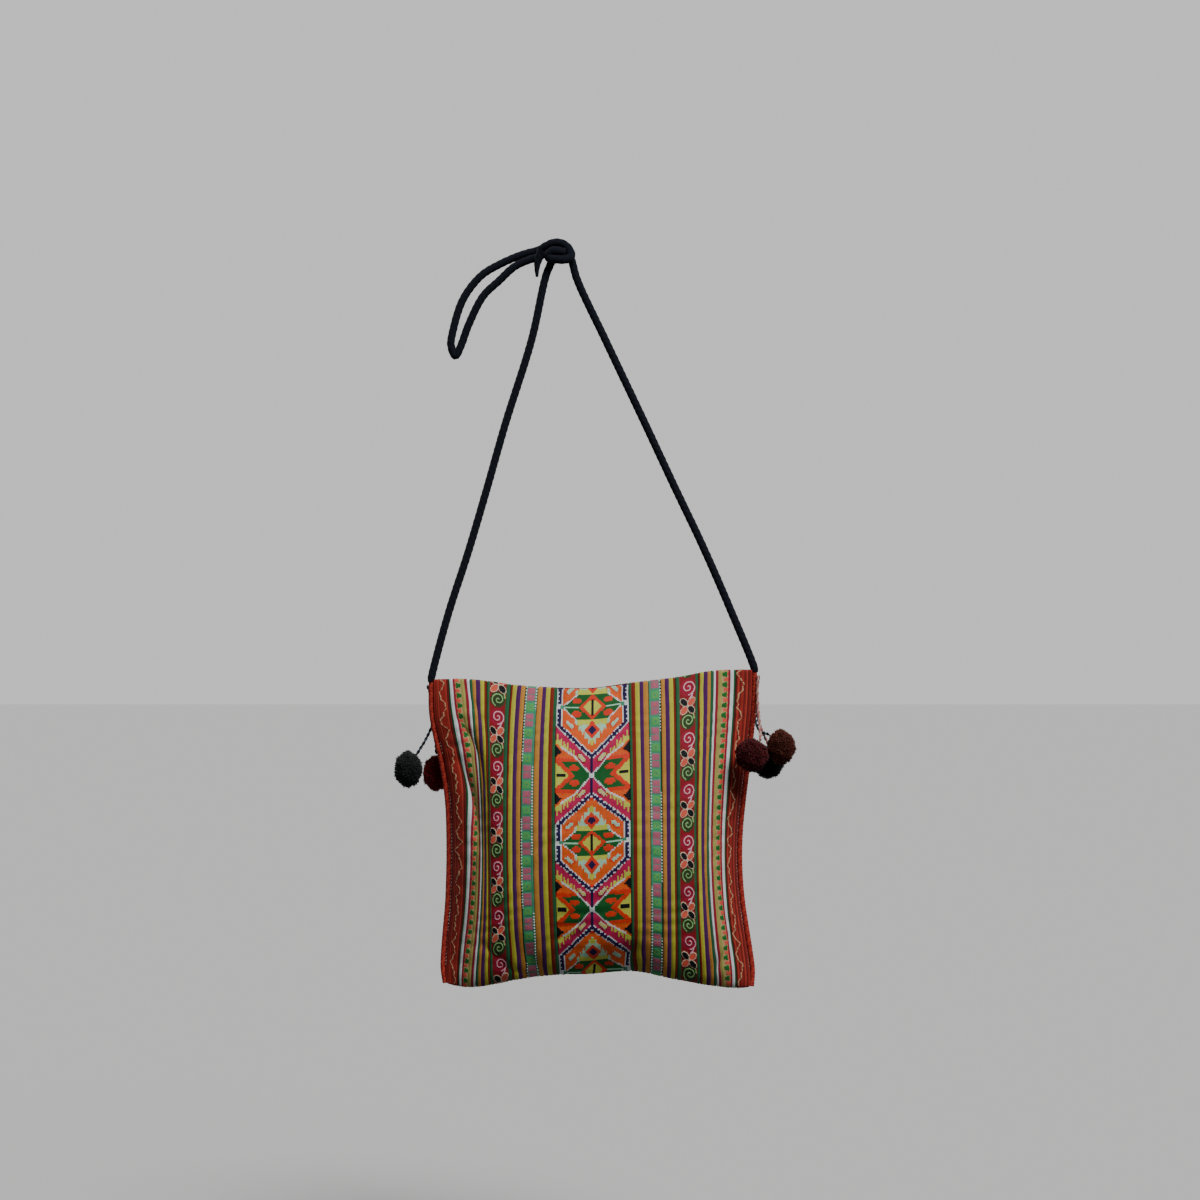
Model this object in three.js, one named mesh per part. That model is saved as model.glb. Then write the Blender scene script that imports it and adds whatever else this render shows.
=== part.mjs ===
// An embroidered shoulder bag: a stuffed, nearly square cloth bag with sewn bands. It hangs by a knotted cord
// strap and has pompoms at its upper corners. Millimetres, +Z up, the embroidered front towards -Y.
// The origin is the point just under the strap's knot, where a peg or a shoulder carries the bag.

import * as THREE from "three";

// The bag's outline, seen from the front, with its side bindings
const TOP_WIDTH = 302;
const BOTTOM_WIDTH = 287;
const LEFT_HEIGHT = 277;
const RIGHT_HEIGHT = 289;
const HANG_DROP = 376; // from the hang point down to the left top corner
const RIGHT_CORNER_LIFT = 9; // the right top corner hangs this much higher
const CENTRE_OFFSET = 29; // the bag's middle hangs this far right of the hang point
const BOTTOM_SHIFT = 5; // and its bottom edge this much further right
const SIDE_PULL = 14; // how far stuffing draws the side seams in
const TOP_SAG = 13; // how far the hem dips between the corners
const BOTTOM_RISE = 13.5; // how far the bottom edge rises between the corners

// Cloth
const WALL = 2; // lined cloth
const BAND_THICKNESS = 1; // a tape, ribbon or embroidered strip sewn on the cloth
const GAP = 0.3; // between pieces that touch on the real bag
const FRONT_BULGE = 47;
const BACK_BULGE = 41;
const MOUTH_HALF_WIDTH = 9; // the hem stands this far open, each way, at its middle
const FOLD_DEPTH = 7; // the deepest dent in the cloth
const BAND_DRIFT = 7; // how far the slack cloth carries its bands sideways
const BINDING_DIAMETER = 4;

// Bands from the side seam to the middle, each with its width and the shares at which its width is divided
const BORDER_WIDTH = 15.4;
const TOOTH_WIDTH = 20.3;
const OUTER_STRIPES_WIDTH = 14;
const FLOWER_WIDTH = 20.5;
const MIDDLE_STRIPES_WIDTH = 13.2;
const BROCADE_WIDTH = 10.9;
const INNER_STRIPES_WIDTH = 17.5;
const CENTRE_WIDTH = 67.2;

// Strap
const STRAP_DIAMETER = 7.4;
const KNOT_WIDTH = 30; // between the middles of the cord's outermost turns
const KNOT_HEIGHT = 23; // its top turn above the hang point
const KNOT_SHIFT = -21; // its left end from the hang point
const BIGHT_REACH = 101; // how far left of the hang point the hanging bight reaches
const BIGHT_DROP = 80; // and how far below it
const TAIL_LENGTH = 23;
const TAIL_TIP = 0.35; // the free end tapers to this share of the cord

// Pompoms
const POMPOM_DIAMETER = 30;
const POMPOM_DROP = 85; // the lowest one's middle below its corner
const POMPOM_CORD_DIAMETER = 3;
const POMPOM_LOCKS = 24; // locks of wool all round a ball
const LOCK_RELIEF = 0.06; // a lock's tip is above the ball, and its edge below, by this share of its radius

const COLOURS = {
  panel: { color: 0x2a2226, roughness: 0.9 },
  side_border: { color: 0xa5281c, roughness: 0.85 },
  tooth_braid: { color: 0xc7b0a0, roughness: 0.85 },
  outer_stripes: { color: 0x8a7a3c, roughness: 0.85 },
  flower_ribbon: { color: 0xa51f3c, roughness: 0.85 },
  middle_stripes: { color: 0x9a8a3c, roughness: 0.85 },
  brocade_ribbon: { color: 0x4f9c7c, roughness: 0.8 },
  inner_stripes: { color: 0xa39a3c, roughness: 0.85 },
  centre_panel: { color: 0xd8643c, roughness: 0.85 },
  binding: { color: 0xb03a34, roughness: 0.85 },
  strap: { color: 0x141d29, roughness: 0.85 },
  grey_wool: { color: 0x3a3f3e, roughness: 1 },
  dark_red_wool: { color: 0x5a1418, roughness: 1 },
  crimson_wool: { color: 0x6e0f24, roughness: 1 },
  orange_wool: { color: 0x8a3c18, roughness: 1 },
};

const BANDS = [
  { name: "side_border", width: BORDER_WIDTH, divide: [0.35] },
  { name: "tooth_braid", width: TOOTH_WIDTH, divide: [] },
  { name: "outer_stripes", width: OUTER_STRIPES_WIDTH, divide: [] },
  { name: "flower_ribbon", width: FLOWER_WIDTH, divide: [0.5] },
  { name: "middle_stripes", width: MIDDLE_STRIPES_WIDTH, divide: [] },
  { name: "brocade_ribbon", width: BROCADE_WIDTH, divide: [] },
  { name: "inner_stripes", width: INNER_STRIPES_WIDTH, divide: [] },
];
const CENTRE_DIVIDE = [0.25, 0.5, 0.75];

// How far down the cloth each row of the model lies, as a share of its height
const ROWS = [0, 0.04, 0.1, 0.18, 0.26, 0.34, 0.42, 0.5, 0.58, 0.66, 0.74, 0.82, 0.89, 0.95, 1];

// How much of SIDE_PULL each side seam shows, going down
const SIDE_SHAPE = [
  { down: 0, left: 0, right: 0 },
  { down: 0.125, left: 0.08, right: 0.18 },
  { down: 0.25, left: 0.57, right: 0.47 },
  { down: 0.375, left: 0.88, right: 0.78 },
  { down: 0.5, left: 0.9, right: 1.03 },
  { down: 0.625, left: 0.78, right: 1.05 },
  { down: 0.75, left: 0.57, right: 0.8 },
  { down: 0.875, left: 0.22, right: 0.35 },
  { down: 1, left: 0, right: 0 },
];

// How much of TOP_SAG the hem and of BOTTOM_RISE the bottom edge show, going across
const EDGE_SHAPE = [
  { across: 0, top: 0, bottom: 0 },
  { across: 0.125, top: 0.1, bottom: -0.04 },
  { across: 0.25, top: 0.6, bottom: 0.47 },
  { across: 0.375, top: 0.88, bottom: 0.84 },
  { across: 0.5, top: 1, bottom: 0.93 },
  { across: 0.625, top: 0.72, bottom: 1.13 },
  { across: 0.75, top: 0.45, bottom: 0.63 },
  { across: 0.875, top: 0.03, bottom: 0.17 },
  { across: 1, top: 0, bottom: 0 },
];

// How much of BAND_DRIFT the cloth moves to the right, going across, at the hem, half way down and at the bottom
const DRIFT_SHAPE = [
  { across: 0, top: 0, middle: 0, bottom: 0 },
  { across: 0.1, top: -0.43, middle: 0.29, bottom: -1.07 },
  { across: 0.2, top: 0, middle: -0.86, bottom: -1.03 },
  { across: 0.3, top: 0.14, middle: -0.93, bottom: -0.88 },
  { across: 0.4, top: 0.14, middle: -0.45, bottom: -0.45 },
  { across: 0.5, top: 0, middle: -0.5, bottom: -0.68 },
  { across: 0.6, top: -0.15, middle: -0.26, bottom: -0.28 },
  { across: 0.7, top: -0.08, middle: -0.12, bottom: 0 },
  { across: 0.8, top: 0, middle: 0, bottom: 0.2 },
  { across: 0.9, top: 0, middle: 0, bottom: 0.6 },
  { across: 1, top: 0, middle: 0, bottom: 0 },
];

// Dents: where each lies, the degrees by which it leans from upright, its half-length and half-width as
// shares of the cloth's height, and how much of FOLD_DEPTH it takes
const FRONT_FOLDS = [
  { across: 0.125, down: 0.34, lean: 9, long: 0.17, wide: 0.035, depth: 1 },
  { across: 0.3, down: 0.93, lean: 20, long: 0.1, wide: 0.035, depth: 0.45 },
  { across: 0.52, down: 0.94, lean: 0, long: 0.05, wide: 0.03, depth: 0.6 },
  { across: 0.6, down: 0.93, lean: -12, long: 0.06, wide: 0.035, depth: 0.8 },
  { across: 0.93, down: 0.8, lean: 8, long: 0.13, wide: 0.03, depth: 0.35 },
  { across: 0.58, down: 0.02, lean: 0, long: 0.04, wide: 0.03, depth: 0.35 },
];
const BACK_FOLDS = [
  { across: 0.14, down: 0.62, lean: -10, long: 0.16, wide: 0.04, depth: 0.6 },
  { across: 0.86, down: 0.38, lean: 10, long: 0.16, wide: 0.04, depth: 0.6 },
  { across: 0.45, down: 0.93, lean: 8, long: 0.07, wide: 0.035, depth: 0.6 },
];

const SIDES = {
  front: { facing: -1, bulge: FRONT_BULGE, folds: FRONT_FOLDS },
  back: { facing: 1, bulge: BACK_BULGE, folds: BACK_FOLDS },
};

const lerp = THREE.MathUtils.lerp;
const point = (x, y, z) => new THREE.Vector3(x, y, z);

// A smooth curve through one column of a table, read at `at` along its `key` column
function readTable(table, key, column, at) {
  const last = table.length - 1;
  let i = 0;
  while (i < last - 1 && at > table[i + 1][key]) i += 1;
  const value = (n) => table[Math.min(Math.max(n, 0), last)][column];
  const t = (at - table[i][key]) / (table[i + 1][key] - table[i][key]);
  const [before, start, end, after] = [value(i - 1), value(i), value(i + 1), value(i + 2)];
  const slopeIn = (end - before) / 2;
  const slopeOut = (after - start) / 2;
  return (
    start * (1 - 3 * t * t + 2 * t * t * t) +
    end * (3 * t * t - 2 * t * t * t) +
    slopeIn * (t - 2 * t * t + t * t * t) +
    slopeOut * (t * t * t - t * t)
  );
}

// The cloth stops short of the outline to leave room for the bindings and the sewn bands
const SIDE_INSET = BINDING_DIAMETER + GAP + WALL;
const BOTTOM_INSET = WALL + GAP + BAND_THICKNESS;
const CORNERS = {
  topLeft: { x: CENTRE_OFFSET - TOP_WIDTH / 2 + SIDE_INSET, z: -HANG_DROP },
  topRight: { x: CENTRE_OFFSET + TOP_WIDTH / 2 - SIDE_INSET, z: -HANG_DROP + RIGHT_CORNER_LIFT },
  bottomLeft: {
    x: CENTRE_OFFSET + BOTTOM_SHIFT - BOTTOM_WIDTH / 2 + SIDE_INSET,
    z: -HANG_DROP - LEFT_HEIGHT + BOTTOM_INSET,
  },
  bottomRight: {
    x: CENTRE_OFFSET + BOTTOM_SHIFT + BOTTOM_WIDTH / 2 - SIDE_INSET,
    z: -HANG_DROP + RIGHT_CORNER_LIFT - RIGHT_HEIGHT + BOTTOM_INSET,
  },
};

const PULL_REACH = 0.3; // the side seams draw in the cloth this far across
const FORESHORTENING = 0.16; // rows close up towards the hem and the bottom by this share

// How full the stuffed cloth stands, from 0 at the edges to 1 at the middle
function fullness(across, down) {
  const sideways = Math.pow(Math.max(0, 1 - Math.pow(Math.abs(2 * across - 1), 2.4)), 0.7);
  const upright = Math.max(0, Math.sin(Math.PI * Math.pow(down, 1.16)));
  return sideways * Math.pow(upright, lerp(0.78, 0.52, down));
}

function foldDepth(folds, across, down) {
  const height = (LEFT_HEIGHT + RIGHT_HEIGHT) / 2;
  return folds.reduce((sum, fold) => {
    const lean = THREE.MathUtils.degToRad(fold.lean);
    const right = ((across - fold.across) * TOP_WIDTH) / height;
    const below = down - fold.down;
    const along = right * Math.sin(lean) + below * Math.cos(lean);
    const aside = right * Math.cos(lean) - below * Math.sin(lean);
    const falloff = Math.exp(-Math.pow(along / fold.long, 2) - Math.pow(aside / fold.wide, 2));
    return sum + FOLD_DEPTH * fold.depth * falloff;
  }, 0);
}

// How far the cloth moves sideways there
function drift(across, down) {
  const read = (column) => readTable(DRIFT_SHAPE, "across", column, across);
  const fromTop = 2 * (down - 0.5) * (down - 1) * read("top");
  const fromMiddle = 4 * down * (1 - down) * read("middle");
  return BAND_DRIFT * (fromTop + fromMiddle + down * (2 * down - 1) * read("bottom"));
}

// A point of the cloth's inner face, at shares of its width and height
function innerPoint(side, across, down) {
  const { topLeft, topRight, bottomLeft, bottomRight } = CORNERS;
  const drawnIn = (share) => Math.pow(Math.max(0, 1 - share / PULL_REACH), 1.6);
  const x =
    lerp(lerp(topLeft.x, topRight.x, across), lerp(bottomLeft.x, bottomRight.x, across), down) +
    drift(across, down) +
    SIDE_PULL * readTable(SIDE_SHAPE, "down", "left", down) * drawnIn(across) -
    SIDE_PULL * readTable(SIDE_SHAPE, "down", "right", down) * drawnIn(1 - across);
  const sag = TOP_SAG * readTable(EDGE_SHAPE, "across", "top", across);
  const rise = BOTTOM_RISE * readTable(EDGE_SHAPE, "across", "bottom", across);
  const hem = lerp(topLeft.z, topRight.z, across) - sag;
  const bottom = lerp(bottomLeft.z, bottomRight.z, across) + rise;
  const closing = FORESHORTENING * 4 * across * (1 - across);
  const z = lerp(hem, bottom, down - (closing * Math.sin(2 * Math.PI * down)) / (2 * Math.PI));
  const full = fullness(across, down);
  const middleness = Math.max(0, 4 * across * (1 - across));
  const mouth = MOUTH_HALF_WIDTH * Math.pow(middleness, 1.5) * Math.pow(1 - down, 2);
  const room = Math.min(1, (full * side.bulge + mouth / 4) / FOLD_DEPTH);
  const dent = foldDepth(side.folds, across, down) * room;
  const depth = Math.max(GAP / 2, GAP / 2 + side.bulge * full + mouth - dent);
  return point(x, side.facing * depth, z);
}

// The direction out of the cloth there
function outward(side, across, down) {
  const step = 0.012;
  const clamp = THREE.MathUtils.clamp;
  const from = (a, d) => innerPoint(side, clamp(a, 0, 1), clamp(d, 0, 1));
  const right = from(across + step, down).sub(from(across - step, down));
  const lower = from(across, down + step).sub(from(across, down - step));
  return right.cross(lower).normalize().multiplyScalar(side.facing);
}

// The shares of the cloth's width at which its columns lie, and where each band starts and ends among them
function layOutColumns() {
  const half = BANDS.reduce((sum, band) => sum + band.width, 0);
  const total = 2 * half + CENTRE_WIDTH;
  const bands = [
    ...BANDS.map((band) => ({ ...band, suffix: "_left" })),
    { name: "centre_panel", width: CENTRE_WIDTH, divide: CENTRE_DIVIDE, suffix: "" },
    ...BANDS.toReversed().map((band) => ({
      ...band,
      divide: band.divide.map((share) => 1 - share),
      suffix: "_right",
    })),
  ];
  const columns = [0];
  let start = 0;
  for (const band of bands) {
    band.first = columns.length - 1;
    for (const share of [...band.divide, 1]) columns.push((start + share * band.width) / total);
    band.last = columns.length - 1;
    start += band.width;
  }
  return { columns, bands };
}
const { columns: COLUMNS, bands: LAID_BANDS } = layOutColumns();

// Rows of points over a side of the bag, raised above the cloth's inner face
function clothGrid(side, raise) {
  const raised = (across, down) =>
    innerPoint(side, across, down).addScaledVector(outward(side, across, down), raise);
  return ROWS.map((down) => COLUMNS.map((across) => raised(across, down)));
}

function meshOf(positions, faces) {
  const geometry = new THREE.BufferGeometry();
  geometry.setAttribute("position", new THREE.Float32BufferAttribute(positions, 3));
  geometry.setIndex(faces);
  geometry.computeVertexNormals();
  return geometry;
}

// A closed solid between two grids of points, whose `outer` faces away from `inner`
function solidBetween(inner, outer, facing) {
  const rows = inner.length;
  const columns = inner[0].length;
  const positions = [...outer.flat(), ...inner.flat()].flatMap((p) => [p.x, p.y, p.z]);
  const out = (r, c) => r * columns + c;
  const back = (r, c) => rows * columns + r * columns + c;
  const faces = [];
  const quad = (a, b, c, d) => faces.push(a, b, c, a, c, d);
  for (let r = 0; r < rows - 1; r += 1) {
    for (let c = 0; c < columns - 1; c += 1) {
      quad(out(r, c), out(r + 1, c), out(r + 1, c + 1), out(r, c + 1));
      quad(back(r, c), back(r, c + 1), back(r + 1, c + 1), back(r + 1, c));
    }
    quad(out(r, 0), back(r, 0), back(r + 1, 0), out(r + 1, 0));
    quad(out(r, columns - 1), out(r + 1, columns - 1), back(r + 1, columns - 1), back(r, columns - 1));
  }
  for (let c = 0; c < columns - 1; c += 1) {
    quad(out(0, c), out(0, c + 1), back(0, c + 1), back(0, c));
    quad(out(rows - 1, c), back(rows - 1, c), back(rows - 1, c + 1), out(rows - 1, c + 1));
  }
  if (facing > 0) faces.reverse();
  return meshOf(positions, faces);
}

// A band's strip of a grid, with its long edges taken in by half a gap
function stripOf(grid, band) {
  return grid.map((row) => {
    const strip = row.slice(band.first, band.last + 1).map((p) => p.clone());
    const last = strip.length - 1;
    const takeIn = (edge, neighbour) => edge.lerp(neighbour, GAP / 2 / edge.distanceTo(neighbour));
    if (last === 1) {
      const [left, right] = strip.map((p) => p.clone());
      takeIn(strip[0], right);
      takeIn(strip[1], left);
    } else {
      takeIn(strip[0], strip[1]);
      takeIn(strip[last], strip[last - 1]);
    }
    return strip;
  });
}

// A round cord along a path, closed at both ends, whose girth may change along it
function tube(path, diameter, sides, steps, girth = () => 1) {
  const frames = path.computeFrenetFrames(steps);
  const positions = [];
  for (let i = 0; i <= steps; i += 1) {
    const middle = path.getPointAt(i / steps);
    const radius = (diameter / 2) * girth(i / steps);
    for (let k = 0; k < sides; k += 1) {
      const angle = (2 * Math.PI * k) / sides;
      const rim = middle
        .clone()
        .addScaledVector(frames.normals[i], radius * Math.cos(angle))
        .addScaledVector(frames.binormals[i], radius * Math.sin(angle));
      positions.push(rim.x, rim.y, rim.z);
    }
  }
  const faces = [];
  for (let i = 0; i < steps; i += 1) {
    for (let k = 0; k < sides; k += 1) {
      const near = i * sides + k;
      const nearNext = i * sides + ((k + 1) % sides);
      faces.push(near, nearNext, nearNext + sides, near, nearNext + sides, near + sides);
    }
  }
  for (let k = 1; k < sides - 1; k += 1) {
    faces.push(0, k + 1, k, steps * sides, steps * sides + k, steps * sides + k + 1);
  }
  return meshOf(positions, faces);
}

const bag = new THREE.Group();

function add(name, geometry, finish) {
  const material = new THREE.MeshStandardMaterial({ ...COLOURS[finish], metalness: 0 });
  const mesh = new THREE.Mesh(geometry, material);
  mesh.name = name;
  bag.add(mesh);
  return mesh;
}

// The two cloth panels and the bands sewn on them
for (const [sideName, side] of Object.entries(SIDES)) {
  const cloth = clothGrid(side, WALL);
  add(`${sideName}_panel`, solidBetween(clothGrid(side, 0), cloth, side.facing), "panel");
  const underside = clothGrid(side, WALL + GAP);
  const topside = clothGrid(side, WALL + GAP + BAND_THICKNESS);
  for (const band of LAID_BANDS) {
    const geometry = solidBetween(stripOf(underside, band), stripOf(topside, band), side.facing);
    add(`${sideName}_${band.name}${band.suffix}`, geometry, band.name);
  }
}

// The rolled binding along each side seam, just outside the panels and their border bands
function bindingPath(across, outwards) {
  const reach = WALL + GAP + BAND_THICKNESS;
  return ROWS.map((down) => {
    const edges = Object.values(SIDES).map((side) =>
      innerPoint(side, across, down).addScaledVector(outward(side, across, down), reach),
    );
    const furthest = outwards * Math.max(...edges.map((edge) => outwards * edge.x));
    return point(furthest + outwards * (GAP + BINDING_DIAMETER / 2), 0, (edges[0].z + edges[1].z) / 2);
  });
}
const BINDINGS = { left: bindingPath(0, -1), right: bindingPath(1, 1) };
for (const [name, path] of Object.entries(BINDINGS)) {
  add(`side_binding_${name}`, tube(new THREE.CatmullRomCurve3(path), BINDING_DIAMETER, 8, 20), "binding");
}

// The strap's knot: the cord rises from the left, turns over the top, wraps across the front of both legs
// and goes back through its own loop.
// across and up are shares of KNOT_WIDTH and KNOT_HEIGHT, depth a share of the strap's diameter.
const KNOT_ROUTE = [
  { across: -0.055, up: 0.7, depth: 0.61 },
  { across: 0.05, up: 0.73, depth: 0.57 },
  { across: 0.24, up: 0.87, depth: 0.3 },
  { across: 0.52, up: 1, depth: 0 },
  { across: 0.79, up: 0.93, depth: 0 },
  { across: 0.97, up: 0.67, depth: -0.2 },
  { across: 1, up: 0.42, depth: -0.52 },
  { across: 0.85, up: 0.31, depth: -0.8 },
  { across: 0.56, up: 0.31, depth: -0.84 },
  { across: 0.34, up: 0.37, depth: -0.66 },
  { across: 0.31, up: 0.48, depth: -0.56 },
  { across: 0.41, up: 0.62, depth: -0.68 },
  { across: 0.54, up: 0.66, depth: -0.72 },
  { across: 0.7, up: 0.63, depth: -0.5 },
  { across: 0.81, up: 0.6, depth: -0.36 },
];
const knotPoints = KNOT_ROUTE.map((row) =>
  point(KNOT_SHIFT + row.across * KNOT_WIDTH, row.depth * STRAP_DIAMETER, row.up * KNOT_HEIGHT),
);
add("strap_knot", tube(new THREE.CatmullRomCurve3(knotPoints), STRAP_DIAMETER, 8, 34), "strap");

// Each leg rises from the top of a binding to just behind the knot's wrap. left and right say how far each
// leg strays to the right of a straight line, as shares of the strap's diameter.
const LEG_BENDS = [
  { along: 0, left: 0, right: 0 },
  { along: 0.15, left: -0.24, right: 0.33 },
  { along: 0.3, left: 0, right: 0.41 },
  { along: 0.45, left: 0.03, right: 0.2 },
  { along: 0.6, left: -0.02, right: 0.05 },
  { along: 0.8, left: 0.2, right: -0.22 },
  { along: 0.95, left: -0.33, right: -0.38 },
  { along: 1, left: -0.1, right: 0 },
];
const LEG_HEADS = {
  left: point(-0.76 * STRAP_DIAMETER, 0.31 * STRAP_DIAMETER, 0.56 * KNOT_HEIGHT),
  right: point(1.22 * STRAP_DIAMETER, 0.56 * STRAP_DIAMETER, 0.38 * KNOT_HEIGHT),
};
for (const [name, head] of Object.entries(LEG_HEADS)) {
  const foot = BINDINGS[name][0].clone().add(point(0, 0, STRAP_DIAMETER * 0.2 + GAP));
  const straight = (along) => foot.clone().lerp(head, along);
  const leg = LEG_BENDS.map((row) => straight(row.along).add(point(row[name] * STRAP_DIAMETER, 0, 0)));
  add(`strap_${name}`, tube(new THREE.CatmullRomCurve3(leg), STRAP_DIAMETER, 8, 14), "strap");
}

// The bight that hangs out of the knot to the left, from its upper strand round to its lower one.
// across and drop are shares of BIGHT_REACH and BIGHT_DROP, depth a share of the strap's diameter.
const BIGHT_ROUTE = [
  { across: 0.229, drop: -0.2, depth: 0.61 },
  { across: 0.27, drop: -0.188, depth: 0.61 },
  { across: 0.37, drop: -0.15, depth: 0.6 },
  { across: 0.55, drop: -0.05, depth: 0.5 },
  { across: 0.72, drop: 0.085, depth: 0.3 },
  { across: 0.88, drop: 0.35, depth: 0.1 },
  { across: 0.97, drop: 0.7, depth: 0 },
  { across: 0.99, drop: 0.88, depth: 0 },
  { across: 0.95, drop: 1, depth: 0 },
  { across: 0.9, drop: 0.88, depth: 0 },
  { across: 0.83, drop: 0.64, depth: 0 },
  { across: 0.7, drop: 0.32, depth: -0.1 },
  { across: 0.56, drop: 0.15, depth: -0.15 },
  { across: 0.41, drop: -0.02, depth: -0.15 },
  { across: 0.235, drop: -0.11, depth: -0.15 },
];
const bightPoints = BIGHT_ROUTE.map((row) =>
  point(-row.across * BIGHT_REACH, row.depth * STRAP_DIAMETER, -row.drop * BIGHT_DROP),
);
add("strap_bight", tube(new THREE.CatmullRomCurve3(bightPoints), STRAP_DIAMETER, 8, 44), "strap");

// The strap's short free end, which stands out of the front of the knot, hangs and tapers
const tailTop = point(KNOT_SHIFT + KNOT_WIDTH * 0.14, -STRAP_DIAMETER * 1.06, KNOT_HEIGHT * 0.66);
const tailPath = new THREE.CatmullRomCurve3([
  tailTop,
  tailTop.clone().add(point(-TAIL_LENGTH * 0.15, 0, -TAIL_LENGTH * 0.3)),
  tailTop.clone().add(point(-TAIL_LENGTH * 0.21, 0, -TAIL_LENGTH * 0.65)),
  tailTop.clone().add(point(-TAIL_LENGTH * 0.21, 0, -TAIL_LENGTH)),
]);
const tailGirth = (share) => lerp(1, TAIL_TIP, Math.pow(share, 1.5));
add("strap_tail", tube(tailPath, STRAP_DIAMETER, 8, 6, tailGirth), "strap");

// Pompoms hang from the upper corners. right, back and drop are shares of POMPOM_DROP and place each one's
// middle from its corner; wide, deep and tall are shares of POMPOM_DIAMETER.
const POMPOMS = {
  left_grey: { right: -0.247, back: 0.047, drop: 0.94, wide: 0.87, deep: 0.87, tall: 1.1 },
  left_red: { right: 0.035, back: 0.318, drop: 1, wide: 0.83, deep: 0.83, tall: 1.09 },
  right_crimson: { right: -0.053, back: -0.376, drop: 0.87, wide: 1, deep: 0.93, tall: 1 },
  right_orange: { right: 0.27, back: -0.2, drop: 0.794, wide: 0.87, deep: 0.87, tall: 1.05 },
  right_grey: { right: 0.153, back: 0.153, drop: 0.976, wide: 1, deep: 0.93, tall: 1 },
};

// Each pompom's cord. starts: the degrees round the binding at which it starts, from its outer side towards
// the back. by: the places that it passes, from its corner, as shares of POMPOM_DROP. enters: the degrees from
// the ball's top towards the right at which it goes in.
const POMPOM_CORDS = {
  left_grey: {
    starts: 20,
    by: [
      { right: -0.01, back: 0.055, drop: 0.14 },
      { right: 0.018, back: 0.07, drop: 0.27 },
      { right: 0.02, back: 0.068, drop: 0.42 },
      { right: -0.05, back: 0.06, drop: 0.6 },
    ],
    enters: 35,
  },
  left_red: {
    starts: 80,
    by: [
      { right: 0, back: 0.1, drop: 0.15 },
      { right: 0.01, back: 0.17, drop: 0.38 },
      { right: 0.03, back: 0.27, drop: 0.62 },
    ],
    enters: 0,
  },
  right_crimson: {
    starts: -45,
    by: [
      { right: 0.026, back: -0.045, drop: 0.2 },
      { right: 0.03, back: -0.08, drop: 0.36 },
      { right: 0.042, back: -0.2, drop: 0.55 },
    ],
    enters: 31,
  },
  right_orange: {
    starts: 15,
    by: [
      { right: 0.03, back: 0.06, drop: 0.19 },
      { right: 0.004, back: 0.068, drop: 0.37 },
      { right: 0.012, back: 0.025, drop: 0.53 },
      { right: 0.05, back: -0.08, drop: 0.625 },
    ],
    enters: -49,
  },
  right_grey: {
    starts: 75,
    by: [
      { right: 0.012, back: 0.11, drop: 0.19 },
      { right: 0.024, back: 0.14, drop: 0.4 },
      { right: 0.08, back: 0.15, drop: 0.62 },
    ],
    enters: 0,
  },
};
const WOOLS = {
  left_grey: "grey_wool",
  left_red: "dark_red_wool",
  right_crimson: "crimson_wool",
  right_orange: "orange_wool",
  right_grey: "grey_wool",
};

// The directions in which the locks of a ball point, spread evenly along a spiral
const LOCK_TIPS = Array.from({ length: POMPOM_LOCKS }, (_, i) => {
  const height = 1 - (2 * i) / (POMPOM_LOCKS - 1);
  const turn = i * Math.PI * (3 - Math.sqrt(5));
  const girth = Math.sqrt(1 - height * height);
  return point(girth * Math.cos(turn), girth * Math.sin(turn), height);
});
const LOCK_SPREAD = Math.acos(1 - 2 / POMPOM_LOCKS); // the angle from a lock's tip to its edge

// A ball's reach in a direction, as a share of its radius: highest at each lock's tip
function lockReach(direction) {
  const fromTip = Math.min(...LOCK_TIPS.map((tip) => direction.angleTo(tip))) / LOCK_SPREAD;
  return 1 + LOCK_RELIEF * Math.cos(Math.PI * Math.min(1, fromTip));
}

// A ball of wool cut into locks
function woolBall(radii) {
  const geometry = new THREE.IcosahedronGeometry(1, 3);
  const position = geometry.getAttribute("position");
  for (let i = 0; i < position.count; i += 1) {
    const p = point().fromBufferAttribute(position, i).normalize();
    p.multiplyScalar(lockReach(p));
    position.setXYZ(i, p.x * radii.x, p.y * radii.y, p.z * radii.z);
  }
  return geometry;
}

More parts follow.
